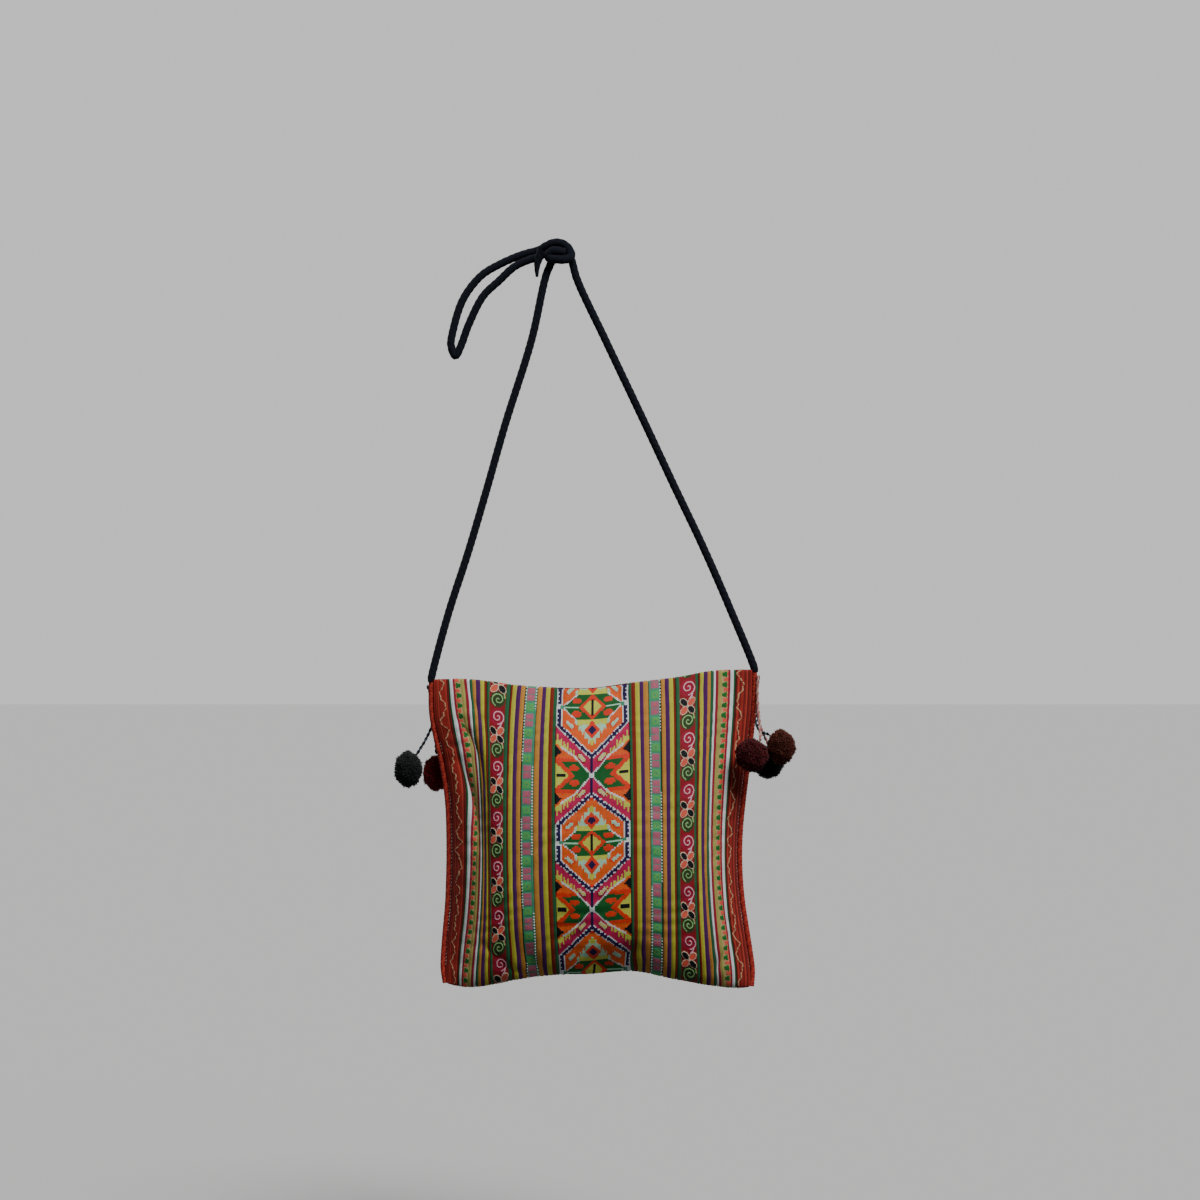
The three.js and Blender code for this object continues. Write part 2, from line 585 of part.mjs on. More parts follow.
const CORD_STANDOFF = BINDING_DIAMETER / 2 + POMPOM_CORD_DIAMETER / 2 + GAP;
for (const [name, ball] of Object.entries(POMPOMS)) {
  const cornerName = name.split("_")[0];
  const corner = BINDINGS[cornerName][0];
  const outwards = cornerName === "left" ? -1 : 1;
  const middle = corner.clone().add(point(ball.right, ball.back, -ball.drop).multiplyScalar(POMPOM_DROP));
  const radii = point(ball.wide, ball.deep, ball.tall).multiplyScalar(POMPOM_DIAMETER / 2);
  add(`pompom_${name}`, woolBall(radii), WOOLS[name]).position.copy(middle);
  const cord = POMPOM_CORDS[name];
  const around = THREE.MathUtils.degToRad(cord.starts);
  const beside = point(outwards * Math.cos(around), Math.sin(around), 0).multiplyScalar(CORD_STANDOFF);
  const start = corner.clone().add(beside).add(point(0, 0, -STRAP_DIAMETER / 2));
  const aside = THREE.MathUtils.degToRad(cord.enters);
  const passed = cord.by.map((p) =>
    corner.clone().add(point(p.right, p.back, -p.drop).multiplyScalar(POMPOM_DROP)),
  );
  // The cord ends on the wool, clear of it by the gap and by its own tilted rim
  const entry = point(Math.sin(aside), 0, Math.cos(aside));
  const surface = entry.clone().multiplyScalar(lockReach(entry)).multiply(radii).add(middle);
  const normal = entry.clone().divide(radii).normalize();
  const tilt = surface.clone().sub(passed.at(-1)).angleTo(normal.clone().negate());
  const clearance = GAP / 2 + (POMPOM_CORD_DIAMETER / 2) * Math.sin(tilt);
  const end = surface.clone().addScaledVector(normal, clearance);
  const route = new THREE.CatmullRomCurve3([start, ...passed, end]);
  add(`pompom_cord_${name}`, tube(route, POMPOM_CORD_DIAMETER, 8, 9), "strap");
}

export default bag;
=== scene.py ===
"""An embroidered shoulder bag that hangs by a knotted cord strap.

The bag's cloth, its sewn bands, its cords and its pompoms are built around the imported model's frame.
Sizes are in millimetres, and meshes are written in metres. The embroidered front faces -Y, and +Z is up.
"""

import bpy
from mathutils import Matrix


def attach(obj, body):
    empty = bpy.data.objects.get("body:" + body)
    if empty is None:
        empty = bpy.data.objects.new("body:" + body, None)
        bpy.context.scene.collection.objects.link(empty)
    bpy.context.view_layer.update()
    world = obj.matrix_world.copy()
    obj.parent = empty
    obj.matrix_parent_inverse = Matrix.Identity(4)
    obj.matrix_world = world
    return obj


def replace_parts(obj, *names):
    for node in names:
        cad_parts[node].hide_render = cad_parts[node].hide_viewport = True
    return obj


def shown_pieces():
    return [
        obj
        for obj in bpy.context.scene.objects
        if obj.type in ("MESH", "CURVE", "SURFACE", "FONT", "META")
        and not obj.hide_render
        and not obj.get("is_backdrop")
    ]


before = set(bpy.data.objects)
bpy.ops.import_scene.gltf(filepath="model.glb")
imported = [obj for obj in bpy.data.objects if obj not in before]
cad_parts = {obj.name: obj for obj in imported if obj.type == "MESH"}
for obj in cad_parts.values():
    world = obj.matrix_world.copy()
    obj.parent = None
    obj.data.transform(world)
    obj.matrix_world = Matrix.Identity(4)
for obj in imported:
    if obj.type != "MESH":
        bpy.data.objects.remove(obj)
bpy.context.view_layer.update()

import logging  # noqa: E402
import math  # noqa: E402
from dataclasses import dataclass, field, replace  # noqa: E402
from enum import Enum  # noqa: E402
from typing import Callable  # noqa: E402

import bpy  # noqa: E402
import numpy as np  # noqa: E402
from mathutils import Vector  # noqa: E402

LOG = logging.getLogger("bag")
BODY = "root"
MM = 0.001
Array = np.ndarray
RowTable = tuple[tuple[float, ...], ...]


# Shared arithmetic


def lerp(start: Array | float, end: Array | float, share: Array | float) -> Array | float:
    """Mix two values by a share."""
    return start + (end - start) * share


def hermite(start: Array, end: Array, slope_in: Array, slope_out: Array, t: Array) -> Array:
    """Run from one value to another on a smooth curve with a slope at each end."""
    return (
        start * (1 - 3 * t**2 + 2 * t**3)
        + end * (3 * t**2 - 2 * t**3)
        + slope_in * (t - 2 * t**2 + t**3)
        + slope_out * (t**3 - t**2)
    )


def read_table(rows: RowTable, column: int, at: Array) -> Array:
    """Read one column of a table along a smooth curve.

    Args:
        rows: The table, whose first column is the place of each row.
        column: Which column to read.
        at: The places to read it at.

    Returns:
        The values there.
    """
    table = np.array(rows)
    keys, values = table[:, 0], table[:, column]
    last = len(keys) - 1
    i = np.clip(np.searchsorted(keys, at, side="left") - 1, 0, last - 1)
    t = (at - keys[i]) / (keys[i + 1] - keys[i])
    start, end = values[i], values[i + 1]
    slope_in = (end - values[np.maximum(i - 1, 0)]) / 2
    slope_out = (values[np.minimum(i + 2, last)] - start) / 2
    return hermite(start, end, slope_in, slope_out, t)


def unit(vectors: Array) -> Array:
    """Give each vector the length of one."""
    return vectors / np.maximum(np.linalg.norm(vectors, axis=-1, keepdims=True), 1e-12)


def run_along(path: Array) -> Array:
    """Measure how far along a line each of its points lies."""
    return np.concatenate([[0], np.cumsum(np.linalg.norm(np.diff(path, axis=0), axis=1))])


def spaced_path(points: Array, step: float) -> Array:
    """Draw one smooth line through points and cut it into even steps.

    Args:
        points: The points that the line goes through.
        step: How far apart the steps are, in millimetres.

    Returns:
        Points along the line, evenly spaced.
    """
    p = np.vstack([2 * points[0] - points[1], points, 2 * points[-1] - points[-2]])
    t = np.linspace(0, 1, 40, endpoint=False)[:, None]
    pieces = []
    for a, b, c, d in zip(p[:-3], p[1:-2], p[2:-1], p[3:]):
        before, here, after = (math.sqrt(np.linalg.norm(v)) for v in (b - a, c - b, d - c))
        slope_in = ((b - a) / before - (c - a) / (before + here) + (c - b) / here) * here
        slope_out = ((c - b) / here - (d - b) / (here + after) + (d - c) / after) * here
        pieces.append(hermite(b, c, slope_in, slope_out, t))
    line = np.vstack([*pieces, points[-1:]])
    run = run_along(line)
    even = np.linspace(0, run[-1], max(3, int(round(run[-1] / step)) + 1))
    return np.stack([np.interp(even, run, line[:, axis]) for axis in range(3)], axis=1)


def length_of(path: Array) -> float:
    """Measure a line of points."""
    return float(np.linalg.norm(np.diff(path, axis=0), axis=1).sum())


# Threads and finishes


class Thread(Enum):
    """The yarns of the bag, each with its colour as red, green and blue from 0 to 255."""

    BORDER_RED = (170, 53, 43)
    BRICK = (120, 34, 30)
    ORANGE_RED = (192, 72, 54)
    CREAM = (224, 208, 180)
    COUCHED = (206, 174, 134)
    WHITE = (226, 232, 232)
    PALE_MINT = (178, 226, 196)
    CRIMSON = (168, 36, 66)
    CORAL = (232, 106, 84)
    TOOTH_GREEN = (36, 128, 56)
    LEAF_GREEN = (14, 112, 50)
    BRAID_GREEN = (46, 116, 76)
    LIGHT_GREEN = (124, 176, 96)
    PALE_YELLOW = (182, 172, 98)
    BRAID_SAND = (196, 172, 124)
    DEEP_GREEN = (26, 78, 52)
    AMBER = (206, 150, 66)
    PURPLE = (98, 36, 112)
    YELLOW_GREEN = (198, 196, 62)
    RUST = (148, 50, 28)
    FLOWER_RED = (158, 22, 40)
    MAGENTA = (204, 28, 98)
    PINK_WHITE = (238, 186, 200)
    PALE_GREEN = (156, 206, 134)
    BLACK = (22, 22, 32)
    OLIVE = (66, 82, 44)
    ROSE = (172, 20, 62)
    TEAL = (80, 160, 128)
    SQUARE_GREEN = (78, 182, 108)
    MAUVE = (188, 112, 136)
    NAVY = (48, 26, 92)
    ORANGE = (240, 110, 26)
    RED_ORANGE = (234, 68, 30)
    LIME = (210, 214, 84)
    LINING = (44, 34, 40)
    BACK_CLOTH = (128, 34, 28)


YARNS = list(Thread)


class Wool(Enum):
    """The yarns of the strap, the strings and the pompoms, with their colours."""

    STRAP_NAVY = (20, 30, 46)
    # A darker copy of the strap's navy, laid in the grooves between its strands as painted shade
    STRAP_GROOVE_PAINTED_SHADE = (12, 18, 30)
    GREY = (42, 47, 46)
    DARK_RED = (140, 16, 24)
    CRIMSON_WOOL = (96, 8, 24)
    ORANGE_WOOL = (100, 44, 22)
    STRING_BLUE = (74, 92, 104)
    STRING_PINK = (188, 122, 118)
    STRING_PALE = (206, 172, 160)


SATURATION = 0.93
CONTRAST = 1.2


def linear(colour: tuple[int, int, int], gain: float = 1.0) -> tuple[float, float, float, float]:
    """Turn a screen colour into the shader's own scale.

    Args:
        colour: Red, green and blue from 0 to 255.
        gain: How much lighter to make it.

    Returns:
        Red, green, blue and one.
    """
    shares = [channel / 255 for channel in colour]
    straight = [c / 12.92 if c <= 0.04045 else ((c + 0.055) / 1.055) ** 2.4 for c in shares]
    grey = 0.25 * straight[0] + 0.6 * straight[1] + 0.15 * straight[2]
    rich = [max(0.0, grey + (c - grey) * SATURATION) ** CONTRAST for c in straight]
    return (*[min(1.0, max(0.002, c * gain)) for c in rich], 1.0)


class NodeSheet:
    """A node tree that is filled in one line for each node."""

    def __init__(self, tree: bpy.types.NodeTree) -> None:
        """Take an empty tree."""
        self.tree = tree

    @classmethod
    def cleared(cls, owner: bpy.types.Material | bpy.types.World) -> "NodeSheet":
        """Clear the nodes of a material or a world, to fill them anew."""
        owner.use_nodes = True
        owner.node_tree.nodes.clear()
        return cls(owner.node_tree)

    def add(self, kind: str, settings: dict | None = None, **inputs: object) -> bpy.types.Node:
        """Add one node.

        Args:
            kind: The node's type.
            settings: Values of the node's own properties.
            inputs: A value or a linked output for each input: i and its number, or its name with _
                for a space.

        Returns:
            The new node.
        """
        node = self.tree.nodes.new(kind)
        for name, value in (settings or {}).items():
            setattr(node, name, value)
        for name, value in inputs.items():
            numbered = name[0] == "i" and name[1:].isdigit()
            socket = node.inputs[int(name[1:]) if numbered else name.replace("_", " ")]
            if isinstance(value, bpy.types.NodeSocket):
                self.tree.links.new(value, socket)
            else:
                socket.default_value = value
        return node

    def calc(self, operation: str, *values: object, clamp: bool = False) -> bpy.types.NodeSocket:
        """Add a math node, and give its result."""
        inputs = {f"i{number}": value for number, value in enumerate(values)}
        settings = {"operation": operation, "use_clamp": clamp}
        return self.add("ShaderNodeMath", settings, **inputs).outputs[0]


def new_object(name: str, data: bpy.types.ID) -> bpy.types.Object:
    """Put a mesh, a light or a camera in the scene."""
    made = bpy.data.objects.new(name, data)
    bpy.context.scene.collection.objects.link(made)
    return made


def new_group(name: str, inputs: dict[str, str], outputs: dict[str, str]) -> bpy.types.NodeTree:
    """Make an empty shader node group with named sockets.

    Args:
        name: The group's name.
        inputs: The kind of socket for each input.
        outputs: The kind of socket for each output.

    Returns:
        The group.
    """
    group = bpy.data.node_groups.new(name, "ShaderNodeTree")
    for way, sockets in (("INPUT", inputs), ("OUTPUT", outputs)):
        for socket, kind in sockets.items():
            group.interface.new_socket(socket, in_out=way, socket_type=f"NodeSocket{kind}")
    return group


def yarn_tone_group() -> bpy.types.NodeTree:
    """Build, once, the group that makes a yarn's colour uneven.

    Returns:
        A group that puts out a colour and a roughness.
    """
    if "yarn_tone" in bpy.data.node_groups:
        return bpy.data.node_groups["yarn_tone"]
    group = new_group(
        "yarn_tone",
        {"Colour": "Color", "Variation": "Float", "Scale": "Float", "Roughness": "Float"},
        {"Colour": "Color", "Roughness": "Float"},
    )
    sheet = NodeSheet(group)
    given = sheet.add("NodeGroupInput").outputs
    place = sheet.add("ShaderNodeTexCoord").outputs["Object"]
    fine = sheet.add("ShaderNodeTexNoise", Vector=place, Scale=given["Scale"], Detail=3.0)
    broad = sheet.add("ShaderNodeTexNoise", Vector=place, Scale=26.0, Detail=4.0, Roughness=0.65)
    centred = sheet.calc("SUBTRACT", sheet.calc("ADD", fine.outputs[0], broad.outputs[0]), 1.0)
    swing = sheet.calc("MULTIPLY", centred, given["Variation"])
    value = sheet.calc("MULTIPLY_ADD", swing, 2.4, 1.0)
    toned = sheet.add("ShaderNodeHueSaturation", Value=value, Color=given["Colour"])
    dull = sheet.calc("ADD", given["Roughness"], swing, clamp=True)
    sheet.add("NodeGroupOutput", Colour=toned.outputs[0], Roughness=dull)
    return group


def yarn_twist_group() -> bpy.types.NodeTree:
    """Build, once, the group that gives the height of twisted threads lying side by side.

    Returns:
        A group that puts out a height.
    """
    if "yarn_twist" in bpy.data.node_groups:
        return bpy.data.node_groups["yarn_twist"]
    group = new_group("yarn_twist", {"Scale": "Float", "Slant": "Float"}, {"Height": "Float"})
    sheet = NodeSheet(group)
    given = sheet.add("NodeGroupInput").outputs
    place = sheet.add("ShaderNodeTexCoord").outputs["Object"]
    turned = sheet.add(
        "ShaderNodeVectorRotate", {"rotation_type": "Y_AXIS"}, Vector=place, Angle=given["Slant"]
    )
    rows = sheet.add(
        "ShaderNodeTexWave", {"bands_direction": "Z"}, Vector=turned.outputs[0],
        Scale=given["Scale"], Distortion=1.6, Detail=1.0, Detail_Scale=1.5,
    )
    hairs = sheet.add("ShaderNodeTexNoise", Vector=place, Scale=2600.0, Detail=2.0)
    height = sheet.calc("MULTIPLY_ADD", hairs.outputs[0], 0.45, rows.outputs["Fac"])
    sheet.add("NodeGroupOutput", Height=height)
    return group


WAVE_LENGTH = 2 * math.pi / 20  # of the wave texture at a scale of one


@dataclass(frozen=True)
class YarnFinish:
    """How a yarn looks once it is sewn, woven or twisted."""

    name: str
    roughness: float = 0.82
    sheen: float = 0.22
    sheen_roughness: float = 0.45
    variation: float = 0.16
    mottle: float = 420.0
    pitch: float = 0.9
    relief: float = 0.16
    slant: float = 0.0
    gain: float = 1.0

    def material(self, yarn: Thread | Wool) -> bpy.types.Material:
        """Dress a yarn in this finish.

        Args:
            yarn: The yarn, which gives the colour.

        Returns:
            The material, made only once.
        """
        full_name = f"{self.name}_{yarn.name.lower()}"
        if full_name in bpy.data.materials:
            return bpy.data.materials[full_name]
        made = bpy.data.materials.new(full_name)
        sheet = NodeSheet.cleared(made)
        made.diffuse_color = linear(yarn.value, self.gain)
        tone = sheet.add(
            "ShaderNodeGroup", {"node_tree": yarn_tone_group()}, Colour=linear(yarn.value, self.gain),
            Variation=self.variation, Scale=self.mottle, Roughness=self.roughness,
        )
        twist = sheet.add(
            "ShaderNodeGroup", {"node_tree": yarn_twist_group()},
            Scale=WAVE_LENGTH / (self.pitch * MM), Slant=math.radians(self.slant),
        )
        bump = sheet.add(
            "ShaderNodeBump", Strength=0.6, Distance=self.relief * MM, Height=twist.outputs["Height"]
        )
        cloth = sheet.add(
            "ShaderNodeBsdfPrincipled", Normal=bump.outputs[0], Base_Color=tone.outputs["Colour"],
            Roughness=tone.outputs["Roughness"], Sheen_Weight=self.sheen,
            Sheen_Roughness=self.sheen_roughness, Specular_IOR_Level=0.25,
        )
        sheet.add("ShaderNodeOutputMaterial", Surface=cloth.outputs[0])
        return made


SATIN = YarnFinish("satin", roughness=0.7, sheen=0.04, variation=0.2, pitch=0.7, relief=0.12)
TAPE = YarnFinish("tape", roughness=0.85, sheen=0.05, variation=0.18, pitch=0.8, relief=0.12)
CLOTH = YarnFinish("cloth", roughness=0.9, sheen=0.06, variation=0.18, pitch=0.6, relief=0.12, slant=45)
CORD = YarnFinish("cord", roughness=0.9, sheen=0.06, variation=0.22, pitch=1.2, relief=0.22, slant=35)
FLEECE = YarnFinish(
    "fleece", roughness=1.0, sheen=0.06, sheen_roughness=0.6, variation=0.3, pitch=1.5, relief=0.1
)
FLEECE_TIP = replace(FLEECE, name="fleece_tip", sheen=0.1, gain=1.5)


# Meshes


class MeshBuffer:
    """Gathers the points and faces of one piece, part by part."""

    def __init__(self) -> None:
        """Start with nothing."""
        self.points: list[Array] = []
        self.faces: list[tuple[Array, Array, Array | None]] = []
        self.count = 0

    def add(self, points: Array) -> int:
        """Add points, and give the number of the first."""
        first = self.count
        self.points.append(points.reshape(-1, 3))
        self.count += len(self.points[-1])
        return first

    def face(self, corners: Array, slots: Array | int = 0, uv: Array | None = None) -> None:
        """Add faces that all have the same number of corners.

        Args:
            corners: The points' numbers, a row for each face.
            slots: The material slot of each face, or of all.
            uv: The place of each corner on the bake sheet.
        """
        rows = np.asarray(corners, dtype=np.int32)
        rows = rows.reshape(-1, rows.shape[-1])
        kinds = np.broadcast_to(np.asarray(slots, dtype=np.int32).reshape(-1), (len(rows),))
        self.faces.append((rows, kinds, uv))

    def build(self, name: str, materials: list[bpy.types.Material]) -> bpy.types.Object:
        """Write the piece as a Blender object.

        Args:
            name: The piece's name.
            materials: One material for each slot.

        Returns:
            The object, which rides on the bag's body.
        """
        mesh = bpy.data.meshes.new(name)
        mesh.vertices.add(self.count)
        mesh.vertices.foreach_set("co", (np.vstack(self.points) * MM).astype(np.float32).ravel())
        loops = np.concatenate([rows.ravel() for rows, _, _ in self.faces])
        sizes = np.concatenate([np.full(len(rows), rows.shape[1]) for rows, _, _ in self.faces])
        mesh.loops.add(len(loops))
        mesh.loops.foreach_set("vertex_index", loops)
        mesh.polygons.add(len(sizes))
        starts = np.concatenate([[0], np.cumsum(sizes)[:-1]]).astype(np.int32)
        mesh.polygons.foreach_set("loop_start", starts)
        slots = np.concatenate([kinds for _, kinds, _ in self.faces])
        mesh.polygons.foreach_set("material_index", slots.astype(np.int32))
        mesh.polygons.foreach_set("use_smooth", np.ones(len(sizes), dtype=bool))
        if all(uv is not None for _, _, uv in self.faces):
            layer = mesh.uv_layers.new(name="OFBake")
            flat = np.concatenate([uv.reshape(-1, 2) for _, _, uv in self.faces])
            layer.data.foreach_set("uv", flat.astype(np.float32).ravel())
        mesh.validate()
        mesh.update(calc_edges=True)
        for material in materials:
            mesh.materials.append(material)
        piece = new_object(name, mesh)
        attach(piece, BODY)
        LOG.info("%s: %d faces", name, len(sizes))
        return piece


def grid_faces(first: int, rows: int, columns: int, closed: bool = False) -> Array:
    """List the four corners of each cell of a grid of points.

    Args:
        first: The number of the grid's first point.
        rows: How many rows of points it has.
        columns: How many points each row has.
        closed: Whether each row goes round to its own start.

    Returns:
        A row of four numbers for each cell.
    """
    number = first + np.arange(rows * columns).reshape(rows, columns)
    if closed:
        number = np.concatenate([number, number[:, :1]], axis=1)
    return np.stack(
        [number[:-1, :-1], number[1:, :-1], number[1:, 1:], number[:-1, 1:]], axis=-1
    ).reshape(-1, 4)


# Cords


def frames_along(path: Array) -> tuple[Array, Array, Array]:
    """Carry two directions along a path without twisting them.

    Args:
        path: The points of the path.

    Returns:
        The direction of the path and the two directions across it, at each point.
    """
    ahead = unit(np.gradient(path, axis=0))
    start = np.array([0.0, -1.0, 0.0]) if abs(ahead[0][1]) < 0.9 else np.array([1.0, 0.0, 0.0])
    aside = [start - ahead[0] * start.dot(ahead[0])]
    for direction in ahead[1:]:
        aside.append(aside[-1] - direction * aside[-1].dot(direction))
        aside[-1] = aside[-1] / np.linalg.norm(aside[-1])
    side = unit(np.array(aside))
    return ahead, side, np.cross(ahead, side)


def sweep(
    buffer: MeshBuffer,
    path: Array,
    radius: Callable[[Array, Array], Array],
    sides: int,
    slots: Callable[[Array, Array], Array] | int = 0,
) -> None:
    """Lay a closed round skin along a path.

    Args:
        buffer: The piece that the skin belongs to.
        path: The points of the path, evenly spaced.
        radius: Gives the radius from the distance along and the angle round.
        sides: How many points go round.
        slots: The material slot, or a function that gives it from distance and angle.
    """
    _, side, other = frames_along(path)
    run = run_along(path)
    angle = np.linspace(0, 2 * math.pi, sides, endpoint=False)
    along, around = np.meshgrid(run, angle, indexing="ij")
    reach = np.broadcast_to(radius(along, around), along.shape)
    skin = path[:, None] + reach[..., None] * (
        side[:, None] * np.cos(around)[..., None] + other[:, None] * np.sin(around)[..., None]
    )
    first = buffer.add(skin)
    cells = grid_faces(first, len(path), sides, closed=True)[:, ::-1]
    kinds: Array | int = slots if isinstance(slots, int) else slots(along[:-1], around[:-1]).ravel()
    buffer.face(cells, kinds)
    ends = buffer.add(np.array([path[0], path[-1]]))
    ring = np.arange(sides)
    after = (ring + 1) % sides
    last = first + (len(path) - 1) * sides
    end_slot = kinds if isinstance(kinds, int) else int(kinds[0])
    buffer.face(np.stack([ring + first, after + first, np.full(sides, ends)], axis=1)[:, ::-1], end_slot)
    buffer.face(np.stack([ring + last, after + last, np.full(sides, ends + 1)], axis=1), end_slot)


@dataclass(frozen=True)
class Twist:
    """A cord's twisted strands: how many, how deep their grooves are and how steep they wind."""

    strands: int = 3
    groove: float = 0.07
    pitch: float = 17.0
    hair: float = 0.02

    def crown(self, along: Array, around: Array) -> Array:
        """Tell how near each place is to the middle of its strand, from 0 in a groove to 1."""
        phase = self.strands * around / 2 + math.pi * along / self.pitch * self.strands
        return np.abs(np.cos(phase))

    def radius(self, diameter: float, girth: Callable[[Array], Array] | None = None) -> Callable:
        """Give the function that shapes the cord's skin.

        Args:
            diameter: The cord's diameter.
            girth: The share of it that is left at each distance along, if the cord tapers.

        Returns:
            A function from distance and angle to radius.
        """

        def shape(along: Array, around: Array) -> Array:
            """Round each strand and lay fine hairs over it."""
            lobe = self.crown(along, around) ** 0.7
            hair = np.sin(around * 9 + along * 3.1) * np.sin(along * 2.3 + around * 4)
            share = 1 - self.groove + self.groove * lobe * 1.6 - self.groove * 0.6 + self.hair * hair
            return diameter / 2 * share * (1 if girth is None else girth(along))

        return shape

    def slots(self, along: Array, around: Array) -> Array:
        """Give the grooves between the strands the second slot, which the strap fills with a darker copy of
        its navy as painted shade.
        """
        return (self.crown(along, around) < 0.3).astype(np.int32)


# The cloth


@dataclass(frozen=True)
class Dent:
    """A fold: its place and half sizes as shares of the cloth, its lean in degrees, its depth in mm."""

    across: float
    down: float
    lean: float
    long: float
    wide: float
    depth: float


def folds_from(*rows: tuple[float, ...]) -> tuple[Dent, ...]:
    """Make folds of rows of across, down, lean, long, wide and depth."""
    return tuple(Dent(*row) for row in rows)


@dataclass(frozen=True)
class ClothSide:
    """One of the bag's two faces, with the large folds and the fine ones that show close up."""

    name: str
    facing: int
    bulge: float
    dents: tuple[Dent, ...]
    creases: tuple[Dent, ...]
    seed: int


FRONT = ClothSide(
    "front", -1, 47.0,
    folds_from(
        (0.125, 0.34, 9, 0.17, 0.035, 7.0), (0.3, 0.93, 20, 0.1, 0.035, 3.15),
        (0.52, 0.94, 0, 0.05, 0.03, 4.2), (0.6, 0.93, -12, 0.06, 0.035, 5.6),
        (0.93, 0.8, 8, 0.13, 0.03, 2.45), (0.58, 0.02, 0, 0.04, 0.03, 2.45),
    ),
    folds_from(
        (0.11, 0.2, 26, 0.09, 0.018, 2.4), (0.08, 0.38, 12, 0.12, 0.024, 7.0),
        (0.14, 0.37, 10, 0.13, 0.03, -3.5), (0.15, 0.33, 14, 0.08, 0.016, 1.6),
        (0.09, 0.56, -6, 0.12, 0.016, 1.2), (0.2, 0.9, 48, 0.09, 0.016, 1.8),
        (0.25, 0.96, 62, 0.08, 0.014, 1.6), (0.335, 0.97, 20, 0.05, 0.014, 1.8),
        (0.47, 0.965, -8, 0.035, 0.013, 1.8), (0.53, 0.96, -4, 0.05, 0.06, 7.5),
        (0.545, 0.93, 14, 0.05, 0.016, 2.4), (0.62, 0.92, -18, 0.05, 0.016, 2.0),
        (0.66, 0.96, -24, 0.05, 0.015, 1.6), (0.86, 0.7, 4, 0.15, 0.014, 1.1),
        (0.955, 0.55, 0, 0.16, 0.012, 1.0), (0.9, 0.9, -30, 0.09, 0.015, 1.6),
        (0.4, 0.03, 6, 0.03, 0.014, 1.0), (0.25, 0.03, -6, 0.03, 0.012, 0.9),
        (0.72, 0.03, 4, 0.035, 0.014, 1.1), (0.83, 0.06, -16, 0.07, 0.014, 1.2),
        (0.13, 0.07, 20, 0.08, 0.014, 1.2),
    ),
    3,
)
BACK = ClothSide(
    "back", 1, 41.0,
    folds_from(
        (0.14, 0.62, -10, 0.16, 0.04, 4.2), (0.86, 0.38, 10, 0.16, 0.04, 4.2),
        (0.45, 0.93, 8, 0.07, 0.035, 4.2),
    ),
    folds_from(
        (0.17, 0.5, -16, 0.1, 0.018, 2.0), (0.82, 0.5, 14, 0.1, 0.018, 2.0),
        (0.2, 0.9, 40, 0.08, 0.016, 1.8), (0.8, 0.92, -40, 0.08, 0.016, 1.8),
        (0.55, 0.95, -6, 0.05, 0.016, 2.0), (0.36, 0.04, 4, 0.04, 0.014, 1.0),
        (0.64, 0.04, -4, 0.04, 0.014, 1.0),
    ),
    8,
)


SLOPE_STEP = 0.012  # the share of the cloth over which its slope is measured


